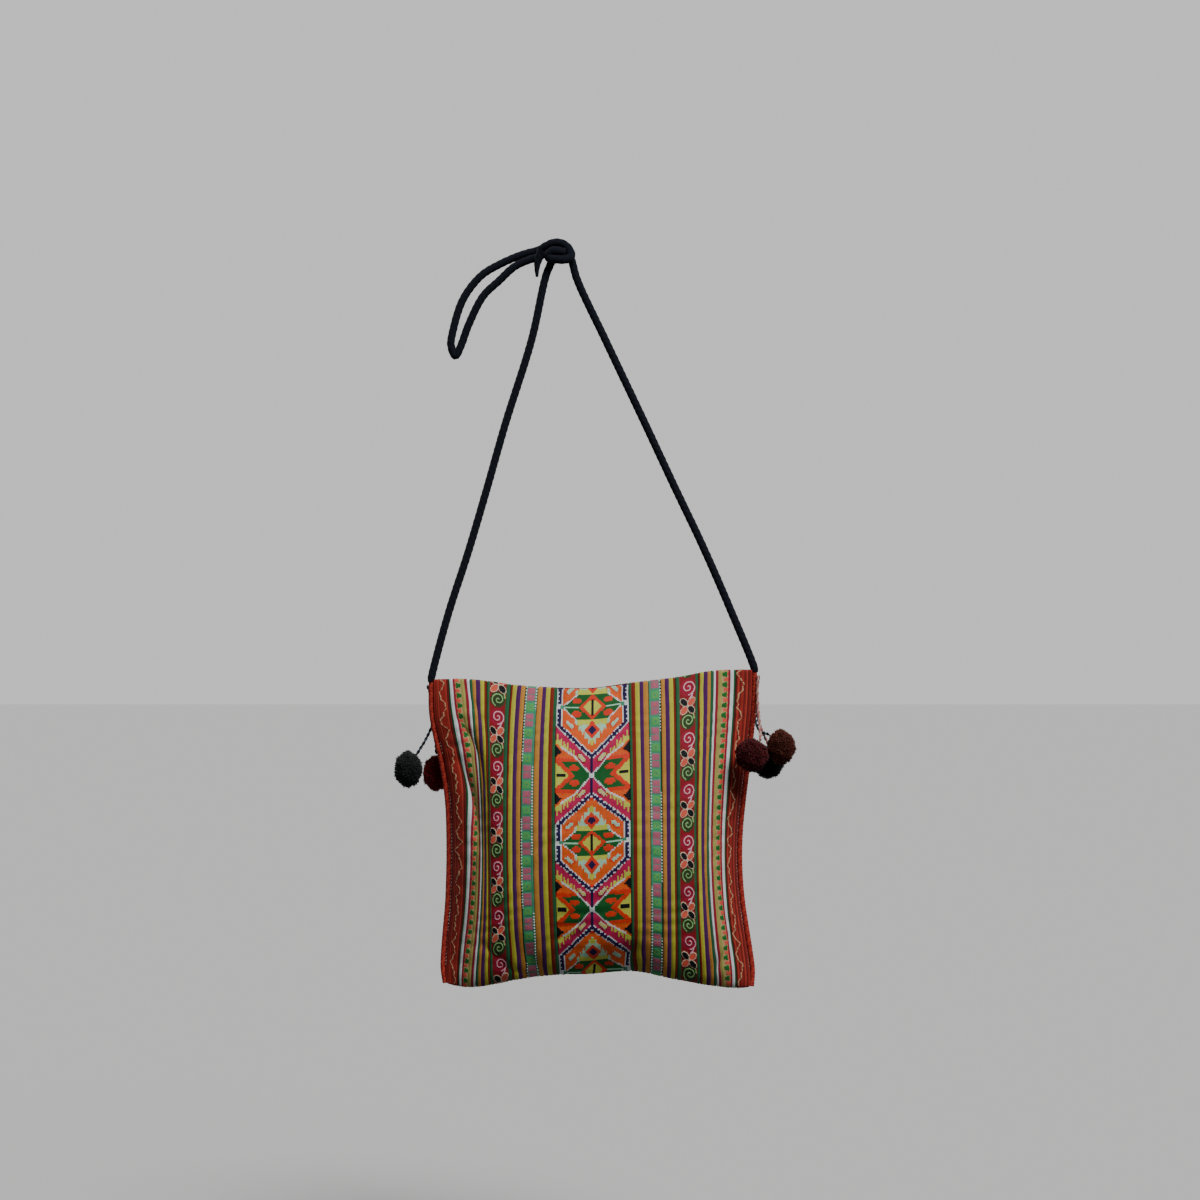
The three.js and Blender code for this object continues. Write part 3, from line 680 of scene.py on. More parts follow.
@dataclass(frozen=True)
class ClothForm:
    """The shape of the stuffed cloth, from the bag's outline and its folds."""

    top_width: float = 302.0
    bottom_width: float = 287.0
    left_height: float = 277.0
    right_height: float = 289.0
    hang_drop: float = 376.0
    right_lift: float = 9.0
    centre_offset: float = 29.0
    bottom_shift: float = 5.0
    side_pull: float = 14.0
    top_sag: float = 13.0
    bottom_rise: float = 13.5
    wall: float = 2.0
    band_thickness: float = 1.0
    gap: float = 0.3
    mouth_half_width: float = 9.0
    fold_depth: float = 7.0
    binding_diameter: float = 4.0
    pull_reach: float = 0.3
    foreshortening: float = 0.16
    band_drift: float = 7.0
    drift_shape: RowTable = (
        (0, 0, 0, 0), (0.1, -0.43, 0.29, -1.07), (0.2, 0, -0.86, -1.03), (0.3, 0.14, -0.93, -0.88),
        (0.4, 0.14, -0.45, -0.45), (0.5, 0, -0.5, -0.68), (0.6, -0.15, -0.26, -0.28),
        (0.7, -0.08, -0.12, 0), (0.8, 0, 0, 0.2), (0.9, 0, 0, 0.6), (1, 0, 0, 0),
    )
    side_shape: RowTable = (
        (0, 0, 0), (0.125, 0.08, 0.18), (0.25, 0.57, 0.47), (0.375, 0.88, 0.78), (0.5, 0.9, 1.03),
        (0.625, 0.78, 1.05), (0.75, 0.57, 0.8), (0.875, 0.22, 0.35), (1, 0, 0),
    )
    edge_shape: RowTable = (
        (0, 0, 0), (0.125, 0.1, -0.04), (0.25, 0.6, 0.47), (0.375, 0.88, 0.84), (0.5, 1, 0.93),
        (0.625, 0.72, 1.13), (0.75, 0.45, 0.63), (0.875, 0.03, 0.17), (1, 0, 0),
    )

    def corners(self) -> tuple[tuple[float, float], ...]:
        """Place the cloth's corners, which leave room for the bindings and the bands.

        Returns:
            The x and z of the top left, top right, bottom left and bottom right corners.
        """
        side = self.binding_diameter + self.gap + self.wall
        under = self.wall + self.gap + self.band_thickness
        left, right = self.centre_offset - self.top_width / 2, self.centre_offset + self.top_width / 2
        middle = self.centre_offset + self.bottom_shift
        right_top = -self.hang_drop + self.right_lift
        return (
            (left + side, -self.hang_drop),
            (right - side, right_top),
            (middle - self.bottom_width / 2 + side, -self.hang_drop - self.left_height + under),
            (middle + self.bottom_width / 2 - side, right_top - self.right_height + under),
        )

    def folds(self, folds: tuple[Dent, ...], across: Array, down: Array) -> Array:
        """Add up the depth of some folds at places on the cloth."""
        height = (self.left_height + self.right_height) / 2
        total = np.zeros(np.broadcast(across, down).shape)
        for fold in folds:
            lean = math.radians(fold.lean)
            right = (across - fold.across) * self.top_width / height
            below = down - fold.down
            along = right * math.sin(lean) + below * math.cos(lean)
            aside = right * math.cos(lean) - below * math.sin(lean)
            total = total + fold.depth * np.exp(-((along / fold.long) ** 2) - (aside / fold.wide) ** 2)
        return total

    def puckers(self, side: ClothSide, across: Array, down: Array) -> Array:
        """Give the small uneven waves of sewn cloth, in millimetres."""
        s = side.seed
        slow = np.sin(across * 19 + s) * np.sin(down * 13 + 2 * s) + np.sin(across * 31 - down * 9 + s)
        wobble = np.sin(across * 11 + s) + 0.8 * np.sin(down * 21 + 3 * s)
        quick = np.sin(down * 118 + 2.4 * wobble + across * 14)
        patch = 0.5 + 0.5 * np.sin(across * 23 + down * 17 + s)
        return 0.34 * slow + 0.3 * quick * patch

    def drift(self, across: Array, down: Array) -> Array:
        """Give how far the slack cloth carries its bands to the right."""
        top, middle, bottom = (read_table(self.drift_shape, column, across) for column in (1, 2, 3))
        from_top = 2 * (down - 0.5) * (down - 1) * top
        return self.band_drift * (from_top + 4 * down * (1 - down) * middle + down * (2 * down - 1) * bottom)

    def inner(self, side: ClothSide, across: Array, down: Array) -> Array:
        """Place points of the cloth's inner face.

        Args:
            side: Which face of the bag.
            across: Shares of the width, from the left seen from the front.
            down: Shares of the height, from the hem.

        Returns:
            The points.
        """
        (tlx, tlz), (trx, trz), (blx, blz), (brx, brz) = self.corners()
        left = read_table(self.side_shape, 1, down) * np.maximum(0, 1 - across / self.pull_reach) ** 1.6
        far = np.maximum(0, 1 - (1 - across) / self.pull_reach) ** 1.6
        right = read_table(self.side_shape, 2, down) * far
        straight = lerp(lerp(tlx, trx, across), lerp(blx, brx, across), down)
        x = straight + self.drift(across, down) + self.side_pull * (left - right)
        hem = lerp(tlz, trz, across) - self.top_sag * read_table(self.edge_shape, 1, across)
        bottom = lerp(blz, brz, across) + self.bottom_rise * read_table(self.edge_shape, 2, across)
        middleness = np.maximum(0, 4 * across * (1 - across))
        closing = self.foreshortening * middleness
        z = lerp(hem, bottom, down - closing * np.sin(2 * math.pi * down) / (2 * math.pi))
        sideways = np.maximum(0, 1 - np.abs(2 * across - 1) ** 2.4) ** 0.7
        upright = np.maximum(0, np.sin(math.pi * down**1.16))
        full = sideways * upright ** lerp(0.78, 0.52, down)
        mouth = self.mouth_half_width * middleness**1.5 * (1 - down) ** 2
        room = np.minimum(1, (full * side.bulge + mouth / 4) / self.fold_depth)
        fine = self.folds(side.creases, across, down) + self.puckers(side, across, down)
        dent = (self.folds(side.dents, across, down) + fine) * room
        depth = np.maximum(self.gap / 2, self.gap / 2 + side.bulge * full + mouth - dent)
        return np.stack(np.broadcast_arrays(x, side.facing * depth, z), axis=-1)

    def outward(self, side: ClothSide, across: Array, down: Array) -> Array:
        """Give the direction out of the cloth at places on it."""
        reach = (SLOPE_STEP, -SLOPE_STEP)
        after, before = (self.inner(side, np.clip(across + step, 0, 1), down) for step in reach)
        lower, upper = (self.inner(side, across, np.clip(down + step, 0, 1)) for step in reach)
        return unit(np.cross(after - before, lower - upper)) * side.facing

    def place(self, side: ClothSide, across: Array, down: Array, turn: Array, raised: Array) -> Array:
        """Place points over the cloth, which may turn over the hem to its inner face.

        Args:
            side: Which face of the bag.
            across: Shares of the width.
            down: Shares of the height.
            turn: The angle turned over the hem, from 0 outside to pi inside.
            raised: How far the points stand off the cloth.

        Returns:
            The points.
        """
        base = self.inner(side, across, down)
        out = self.outward(side, across, down)
        up = unit(base - self.inner(side, across, down + SLOPE_STEP))
        room = np.minimum(raised, 0.8 * np.abs(base[..., 1]))
        inwards = np.maximum(0, -np.cos(turn))
        stand = raised + (room - raised) * inwards
        reach = self.wall / 2 + stand
        over = np.where(turn > 0, np.sin(turn), 0.0)
        return (
            base
            + out * (self.wall / 2 + reach * np.cos(turn))[..., None]
            + up * (reach * over)[..., None]
        )


FORM = ClothForm()


def cloth_grid(across: Array, down: Array, angle: Array) -> tuple[Array, Array, Array]:
    """Spread shares across the cloth over rows with a share down and an angle over the hem."""
    return (*np.meshgrid(across, down), np.meshgrid(across, angle)[1])


# Charts of the sewn bands


class Chart:
    """The threads and heights laid over the cells of a band."""

    def __init__(self, x: Array, flat: Array, y: Array, width: float) -> None:
        """Cover a band with red thread.

        Args:
            x: Millimetres from the band's edge nearer the side seam.
            flat: Millimetres from its left edge.
            y: Millimetres down the cloth.
            width: The band's width.
        """
        self.x, self.flat, self.y, self.width = x, flat, y, width
        self.thread = np.full(x.shape, YARNS.index(Thread.BORDER_RED))
        self.height = np.full(x.shape, 0.7)

    def lay(self, where: Array, thread: Thread, height: Array | float | None = None) -> None:
        """Lay a thread where a mask says, at a height if one is given."""
        self.thread = np.where(where, YARNS.index(thread), self.thread)
        if height is not None:
            self.height = np.where(where, height, self.height)

    def stripes(self, shares: tuple[tuple[Thread, float], ...]) -> None:
        """Lay rounded cords side by side, each a share of the band's width.

        Args:
            shares: The thread and the share of each cord, from the seam.
        """
        start = 0.0
        for number, (thread, share) in enumerate(shares):
            place = (self.x / self.width - start) / share
            inside = (place >= 0) & (place <= 1.0001)
            crown = 1 - (2 * place - 1) ** 2
            sewn = 0.5 + 0.5 * np.sin(self.y * 2.6 + number * 1.7)
            self.lay(inside, thread, 0.5 + 0.42 * crown + 0.09 * sewn * crown)
            start += share


def border_chart(chart: Chart, right: bool) -> None:
    """Chart the red border: ribs of cord with painted shade in the grooves between them, and one wandering
    couched thread.

    Args:
        chart: The band's chart.
        right: Whether it is the border at the bag's right side.
    """
    rib = chart.x / 1.92
    crown = np.abs(np.sin(math.pi * rib))
    sewn = 0.06 * np.sin(chart.y * 3.3 + np.floor(rib) * 2.1)
    chart.lay(chart.x > -1, Thread.BORDER_RED, 0.5 + 0.34 * crown + sewn)
    for number, thread in ((2, Thread.ORANGE_RED), (6, Thread.ORANGE_RED), (7, Thread.BRICK)):
        chart.lay((np.floor(rib) == number) & (crown > 0.45), thread)
    # Painted shade: the grooves between the ribs are laid in darker brick thread
    chart.lay(crown < 0.3, Thread.BRICK)
    if right:
        for number in (1, 3, 5):
            chart.lay((np.floor(rib) == number) & (crown > 0.6), Thread.BRICK)
    middle = 10.6 if right else 8.3
    wander = 0.8 * np.sin(chart.y / 7.3) + 0.6 * np.sin(chart.y / 17.1 + 2 * right)
    phase = 2 * math.pi * chart.y / 19.4 + wander
    swing = 2.0 * (1 + 0.45 * np.sin(chart.y / 19 + 1.3 * right))
    crooked = 0.55 * np.sin(chart.y * 1.1) + 0.5 * np.sin(chart.y * 0.63 + 1)
    centre = middle + swing * np.sin(phase) + crooked
    steep = np.sqrt(1 + (swing * 0.32 * np.cos(phase)) ** 2)
    couched = np.abs(chart.x - centre) / steep < 0.5
    gap = np.sin(chart.y * 2.1) < -0.93
    chart.lay(couched & ~gap, Thread.COUCHED, 1.3)


def tooth_chart(chart: Chart, right: bool) -> None:
    """Chart the braid whose cream middle carries green teeth and coral blocks.

    Args:
        chart: The band's chart.
        right: Whether it is at the bag's right side.
    """
    chart.stripes(
        (
            (Thread.BRAID_GREEN, 0.09), (Thread.WHITE, 0.13), (Thread.CRIMSON, 0.1),
            (Thread.BRAID_SAND, 0.28), (Thread.PALE_YELLOW, 0.16), (Thread.CRIMSON, 0.13),
            (Thread.WHITE, 0.11),
        )
    )
    start, width = 0.32 * chart.width, 0.28 * chart.width
    place = chart.x - start
    inside = (place > 0.2) & (place < width - 0.2)
    period = 8.45
    here = (chart.y + (2.0 if right else 0)) % period - period / 2
    tooth = inside & (place > 1.1) & (np.abs(here) < 2.6 - 0.3 * (place - 1.1))
    coral = inside & (place < 4.2) & (np.abs(np.abs(here) - period / 2) < 1.5)
    edge = inside & (place < 1.4) & (np.abs(here) < 1.3)
    chart.lay(inside, Thread.BRAID_SAND, 0.62)
    chart.lay(coral, Thread.CORAL, 0.95)
    chart.lay(edge, Thread.CORAL, 0.85)
    chart.lay(tooth, Thread.TOOTH_GREEN, 1.05)


def line_mask(x: Array, y: Array, points: tuple[tuple[float, float], ...], half: float) -> Array:
    """Find the places near a line through points.

    Args:
        x: Places across.
        y: Places down.
        points: The corners of the line.
        half: Half the line's width.

    Returns:
        A mask of the places within it.
    """
    near = np.full(x.shape, 1e9)
    for (ax, ay), (bx, by) in zip(points[:-1], points[1:]):
        dx, dy = bx - ax, by - ay
        share = np.clip(((x - ax) * dx + (y - ay) * dy) / (dx * dx + dy * dy), 0, 1)
        near = np.minimum(near, np.hypot(x - ax - share * dx, y - ay - share * dy))
    return near < half


def spiral_mask(x: Array, y: Array, radius: float, turns: float, half: float) -> Array:
    """Find the places on a couched spiral round the origin.

    Args:
        x: Places across.
        y: Places down.
        radius: How far out the spiral reaches.
        turns: How often it goes round.
        half: Half its line's width.

    Returns:
        A mask of the places on it.
    """
    growth = radius / (turns * 2 * math.pi)
    angle = np.arctan2(y, x)
    distance = np.hypot(x, y)
    found = np.zeros(x.shape, dtype=bool)
    for k in range(int(turns) + 2):
        winding = angle + 2 * math.pi * k
        on = (winding > 0.4) & (winding < turns * 2 * math.pi)
        found |= on & (np.abs(distance - growth * winding) < half)
    return found


def flower_chart(chart: Chart, right: bool) -> None:
    """Chart the ribbon of four-petalled flowers between couched spirals.

    Args:
        chart: The band's chart.
        right: Whether it is at the bag's right side.
    """
    chart.stripes(((Thread.BRAID_GREEN, 0.13), (Thread.FLOWER_RED, 0.7), (Thread.BRAID_GREEN, 0.17)))
    inside = (chart.x > 0.13 * chart.width) & (chart.x < 0.83 * chart.width)
    middle = 0.48 * chart.width
    fx = chart.flat - (chart.width - middle if right else middle)
    period = 43.6
    start = 25.0 if right else 0.4
    fy = (chart.y - start + 24) % period - 24
    ribs = 0.05 * np.sin(chart.y * 4.2)
    chart.lay(inside, Thread.FLOWER_RED, 0.58 + ribs)
    chart.lay(inside & (np.hypot(fx, (fy + 15.6) / 1.05) < 6.9), Thread.ROSE)
    patch = inside & (np.hypot(fx, fy - 12.8) < 6.7 + 0.4 * np.sin(chart.y * 2.3))
    chart.lay(patch, Thread.OLIVE)
    curl = spiral_mask(-(fx - 0.6), -(fy + 15.8), 6.5, 1.75, 0.5)
    stem = line_mask(fx, fy, ((4.4, -11.2), (3.6, -8.2), (1.6, -6.0), (0.9, -3.0), (0.2, 0.0)), 0.6)
    chart.lay(inside & (curl | stem), Thread.PINK_WHITE, 1.15)
    lower = spiral_mask(fx - 0.6, -(fy - 12.6), 6.2, 1.7, 0.5)
    stalk = line_mask(fx, fy, ((0.3, 1.0), (2.6, 4.4), (5.4, 7.4), (6.2, 11.0)), 0.6)
    chart.lay(inside & (lower | stalk), Thread.PALE_GREEN, 1.15)
    for sx, sy, thread in (
        (-1, -1, Thread.BLACK), (1, -1, Thread.CORAL), (-1, 1, Thread.CORAL), (1, 1, Thread.BLACK),
    ):
        px, py = fx - sx * 3.35, fy - sy * 3.45
        along, aside = (px * sx + py * sy) / math.sqrt(2), (px * sy - py * sx) / math.sqrt(2)
        for long, wide, petal, height in ((4.3, 3.0, Thread.CREAM, 1.25), (3.75, 2.45, thread, 1.0)):
            chart.lay(inside & ((along / long) ** 2 + (aside / wide) ** 2 < 1), petal, height)


def brocade_chart(chart: Chart, right: bool) -> None:
    """Chart the woven ribbon of green squares and mauve blocks with seed beads at its edges.

    Args:
        chart: The band's chart.
        right: Whether it is at the bag's right side.
    """
    chart.stripes(((Thread.DEEP_GREEN, 0.12), (Thread.TEAL, 0.74), (Thread.TEAL, 0.14)))
    inside = (chart.x > 0.12 * chart.width) & (chart.x < 0.86 * chart.width)
    bx = chart.x - 0.49 * chart.width
    period = 22.9
    by = (chart.y - (0.3 if right else 5.7)) % period - period / 2
    weave = 0.07 * np.sin(chart.x * 5.2) * np.sin(chart.y * 5.2)
    chart.lay(inside, Thread.TEAL, 0.6 + weave)
    square = inside & (np.maximum(np.abs(bx), np.abs(by)) < 3.7)
    chart.lay(square, Thread.SQUARE_GREEN, 0.85 + weave)
    ring = np.abs(np.hypot(bx, by) - 1.9) < 0.5
    chart.lay(square & ring, Thread.LIGHT_GREEN, 1.0)
    chart.lay(square & (np.hypot(bx, by) < 0.8), Thread.TEAL, 0.95)
    for centre in (-8.4, 8.4):
        block = inside & (np.abs(bx) < 3.4) & (np.abs(by - centre) < 2.7)
        chart.lay(block, Thread.MAUVE, 0.85 + weave)
        chart.lay(block & (np.hypot(bx, by - centre) < 0.7), Thread.CORAL, 1.0)
    bead_y = (chart.y + 1.35) % 2.7 - 1.35
    for place, phase in ((0.1, 0.4), (0.92, 2.6)):
        strung = np.sin(chart.y / 21 + phase + right) > -0.35
        bead = np.hypot(chart.x - place * chart.width, bead_y) < 0.72
        chart.lay(bead & strung, Thread.WHITE, 1.5)


def striped(*shares: tuple[Thread, float]) -> Callable[[Chart, bool], None]:
    """Make the chart of cords that lie side by side.

    Args:
        shares: The thread and the share of each cord, from the seam.

    Returns:
        A function that lays them on a chart.
    """

    def stripes_chart(chart: Chart, right: bool) -> None:
        """Lay the cords."""
        chart.stripes(shares)

    return stripes_chart


outer_stripes_chart = striped(
    (Thread.BRAID_GREEN, 0.17), (Thread.AMBER, 0.19), (Thread.PURPLE, 0.27),
    (Thread.YELLOW_GREEN, 0.22), (Thread.RUST, 0.15),
)
middle_stripes_chart = striped(
    (Thread.RUST, 0.15), (Thread.YELLOW_GREEN, 0.29), (Thread.PURPLE, 0.26), (Thread.AMBER, 0.3),
)
inner_stripes_chart = striped(
    (Thread.AMBER, 0.25), (Thread.PURPLE, 0.19), (Thread.YELLOW_GREEN, 0.22),
    (Thread.RUST, 0.19), (Thread.BRAID_GREEN, 0.15),
)


def bar_mask(
    x: Array, y: Array, centre: tuple[float, float], half: tuple[float, float], slope: float
) -> Array:
    """Find the places in a small bar that lies along a slope.

    Args:
        x: Places across.
        y: Places down.
        centre: The bar's middle.
        half: Half its length and half its width.
        slope: How far it goes down for each step across.

    Returns:
        A mask of the places in it.
    """
    size = math.hypot(1, slope)
    dx, dy = x - centre[0], y - centre[1]
    along, aside = (dx + dy * slope) / size, (dy - dx * slope) / size
    return (np.abs(along) / half[0] < 1) & (np.abs(aside) / half[1] < 1)


def centre_chart(chart: Chart, right: bool) -> None:
    """Chart the stitched middle panel: linked hexagons and eight-pointed stars.

    The pattern is drawn once for a quarter of its repeat, in steps of which the half panel holds 38.
    x and y run from a hexagon's middle, and ex and ey from the crossing between two hexagons.

    Args:
        chart: The band's chart.
        right: Not used, as the panel is the same on both sides of its middle.
    """
    x = np.abs(chart.flat - chart.width / 2) / (chart.width / 2) * 38
    repeat, half_repeat, first = 122.3, 67.5, 138.3
    folded = (chart.y - first + repeat / 2) % repeat - repeat / 2
    y = np.abs(folded) / (repeat / 2) * half_repeat
    ex, ey = x, half_repeat - y
    slope, peak = 0.8765, 48.8  # of the hexagon's upper edge
    size = math.hypot(1, slope)
    slant = (y + slope * x - peak) / size
    along = (x - slope * (y - peak)) / size
    teeth = np.abs((x / 3.4) % 1 - 0.5) * 4 - 1
    stitch = 0.05 * np.sin(chart.flat * 4.5) + 0.05 * np.sin(chart.y * 4.5)
    low, mid, top = 0.72 + stitch, 0.9 + stitch, 1.08 + stitch

    chart.lay(x > -1, Thread.ORANGE, low)
    # Inside the hexagon
    chart.lay((y < 38 - 1.3 * x + 2.6 * teeth) & (x < 19), Thread.PALE_MINT, mid)
    chart.lay((y < 17.5 + 0.8 * teeth) & (x < 16), Thread.LIME, mid)
    spade = np.abs(x) / 8.2 + np.abs(y - 22.4) / 9.4
    chart.lay((spade > 1) & (y > 31.5) & (y < 38 - 1.3 * x) & (x < 2), Thread.LIME, mid)
    chart.lay(spade < 1, Thread.RED_ORANGE, top)
    chart.lay(np.abs(x) / 4.2 + np.abs(y - 22.4) / 4.8 < 1, Thread.NAVY, top)
    chart.lay(bar_mask(x, y, (23.5, 17.2), (5.6, 2.7), -slope), Thread.RED_ORANGE, mid)
    chart.lay(bar_mask(x, y, (23.5, 17.2), (4.6, 1.7), -slope), Thread.PALE_MINT, top)
    chart.lay((y > 42.5) & (y < 46) & (x < 3.2), Thread.RED_ORANGE, mid)
    eye = y < 12.5
    rim = 31 - 1.232 * y
    chart.lay(eye & (x < rim + 1.8), Thread.WHITE, low)
    chart.lay(eye & (x < rim), Thread.LEAF_GREEN, mid)
    chart.lay((y < 0.8) & (x > 15) & (x < 31), Thread.PALE_MINT, mid)
    chart.lay(((x - 16.6) / 5.0) ** 2 + ((y - 6.6) / 3.0) ** 2 < 1, Thread.RED_ORANGE, top)
    gem = x / 14.2 + y / 12.8
    chart.lay(gem < 1, Thread.RED_ORANGE, top)
    chart.lay(gem < 0.7, Thread.LIME, mid)
    chart.lay((x < 1.4) & (y < 8.2), Thread.BLACK, top)
    # The hexagon's outline, a chain of dark squares between fine white lines
    flank = (x > 31.4) & (y < 18.5)
    chart.lay(flank, Thread.WHITE, low)
    chain = np.abs((y / 4.3) % 1 - 0.5) * 2
    chart.lay(flank & (np.abs(x - 34.4) < 1.2 + 0.9 * chain) & (y > 2.4), Thread.NAVY, top)
    chart.lay((np.abs(x - 31.6) < 1.7) & (y < 1.8), Thread.TEAL, mid)
    step = np.abs((along / 4.3) % 1 - 0.5) * 2
    chart.lay((np.abs(slant) < 2.5) & ~flank, Thread.WHITE, low)
    chart.lay((np.abs(slant) < 0.9 + 1.3 * step) & ~flank, Thread.NAVY, top)
    # Between the hexagons
    outside = (slant > 2.5) & ~flank
    chart.lay(outside, Thread.MAGENTA, low)
    roof = np.where(ex < 18, 0.4 + 1.0125 * ex, 18.6 + (ex - 18) * 0.66)
    chart.lay(outside & (slant > 9.6 + 3.0 * teeth) & (ex > 15), Thread.LIME, mid)
    for long, wide, thread, height in (
        (5.6, 2.8, Thread.CRIMSON, mid), (4.4, 1.8, Thread.CREAM, top), (4.4, 0.55, Thread.LIME, top),
    ):
        bar = bar_mask(ex, ey, (10.4, 17.6), (long, wide), 0.95)
        chart.lay(outside & bar, thread, height)
    star = outside & (ey < roof)
    chart.lay(star, Thread.ORANGE, low)
    vee = (ey - 0.94 * (ex - 21)) / math.hypot(1, 0.94)
    chart.lay(star & (ey < 13.4) & (vee > 0), Thread.LEAF_GREEN, mid)
    chart.lay(star & (((ex - 18.5) / 5.2) ** 2 + ((ey - 7.2) / 3.1) ** 2 < 1), Thread.RED_ORANGE, top)
    chart.lay(star & (vee < 0), Thread.LIME, mid)
    chart.lay(star & (np.abs(vee) < 2.1), Thread.RED_ORANGE, top)
    chart.lay(star & (ey > 13.4) & (ey < 17.4 + teeth) & (ex > 14), Thread.RED_ORANGE, mid)
    chart.lay(star & (ey < 1.9) & (ex > 27) & (ex < 37), Thread.BLACK, top)
    chart.lay(outside & (np.abs(ex - 38) / 6.8 + np.abs(ey - 23.5) / 6.4 < 1), Thread.BLACK, top)
    chart.lay(outside & (np.abs(ey - roof) < 0.95) & (ex < 33), Thread.WHITE, mid)
    chart.lay(outside & (ex < 1.5) & (ey > 2) & (ey < 18.7), Thread.NAVY, top)
    chart.lay((ex < 1.0) & (ey < 20) & (ey > 12), Thread.NAVY, top)
    chart.lay(np.maximum(ex, ey) < 2.5, Thread.WHITE, 1.25)


def plain_centre_chart(chart: Chart, right: bool) -> None:
    """Chart the back's middle: plain red cloth run down with rows of quilting."""
    row = chart.x / 5.6
    quilted = np.abs(np.sin(math.pi * row)) ** 0.6
    chart.lay(chart.x > -1, Thread.BACK_CLOTH, 0.5 + 0.4 * quilted)
    line = np.abs(row - np.round(row)) < 0.07
    chart.lay(line & (np.sin(chart.y * 2.4) > -0.3), Thread.BRICK, 0.6)


@dataclass(frozen=True)
class Band:
    """A sewn band: its width, its chart, its record slot and the cells that carry its relief."""

    name: str
    width: float
    chart: Callable[[Chart, bool], None]
    slot: str
    columns: int
    rows: int
    finish: YarnFinish = TAPE
    stitched: bool = False


BANDS = (
    Band("side_border", 15.4, border_chart, "border_red", 32, 330),
    Band("tooth_braid", 20.3, tooth_chart, "tooth_cream", 40, 380),
    Band("outer_stripes", 14.0, outer_stripes_chart, "stripes_outer", 30, 230),
    Band("flower_ribbon", 20.5, flower_chart, "flower_red", 42, 500, SATIN),
    Band("middle_stripes", 13.2, middle_stripes_chart, "stripes_middle", 28, 230),
    Band("brocade_ribbon", 10.9, brocade_chart, "brocade_green", 22, 460, SATIN),
    Band("inner_stripes", 17.5, inner_stripes_chart, "stripes_inner", 36, 230),
)
CENTRE = Band("centre_panel", 67.2, centre_chart, "centre_embroidery", 116, 400, SATIN, stitched=True)
BACK_CENTRE = Band("centre_panel", 67.2, plain_centre_chart, "centre_embroidery", 84, 120)
CLOTH_WIDTH = 2 * sum(band.width for band in BANDS) + CENTRE.width
CLOTH_DROP = 263.6  # how far the cloth hangs down its middle
STITCH_GROOVE = 0.1  # how much lower the cloth lies between two stitches
HEM_TURNS = (1.0, 0.86, 0.72, 0.58, 0.44, 0.3, 0.15)  # rows over the hem, as shares of a half turn
HEM_ROLL = 6.0  # the way over the hem
EDGE_HEIGHT = 0.45  # at most, of a band's edge above its underside
COARSE = 0.62  # the share of a band's columns that are built at less detail


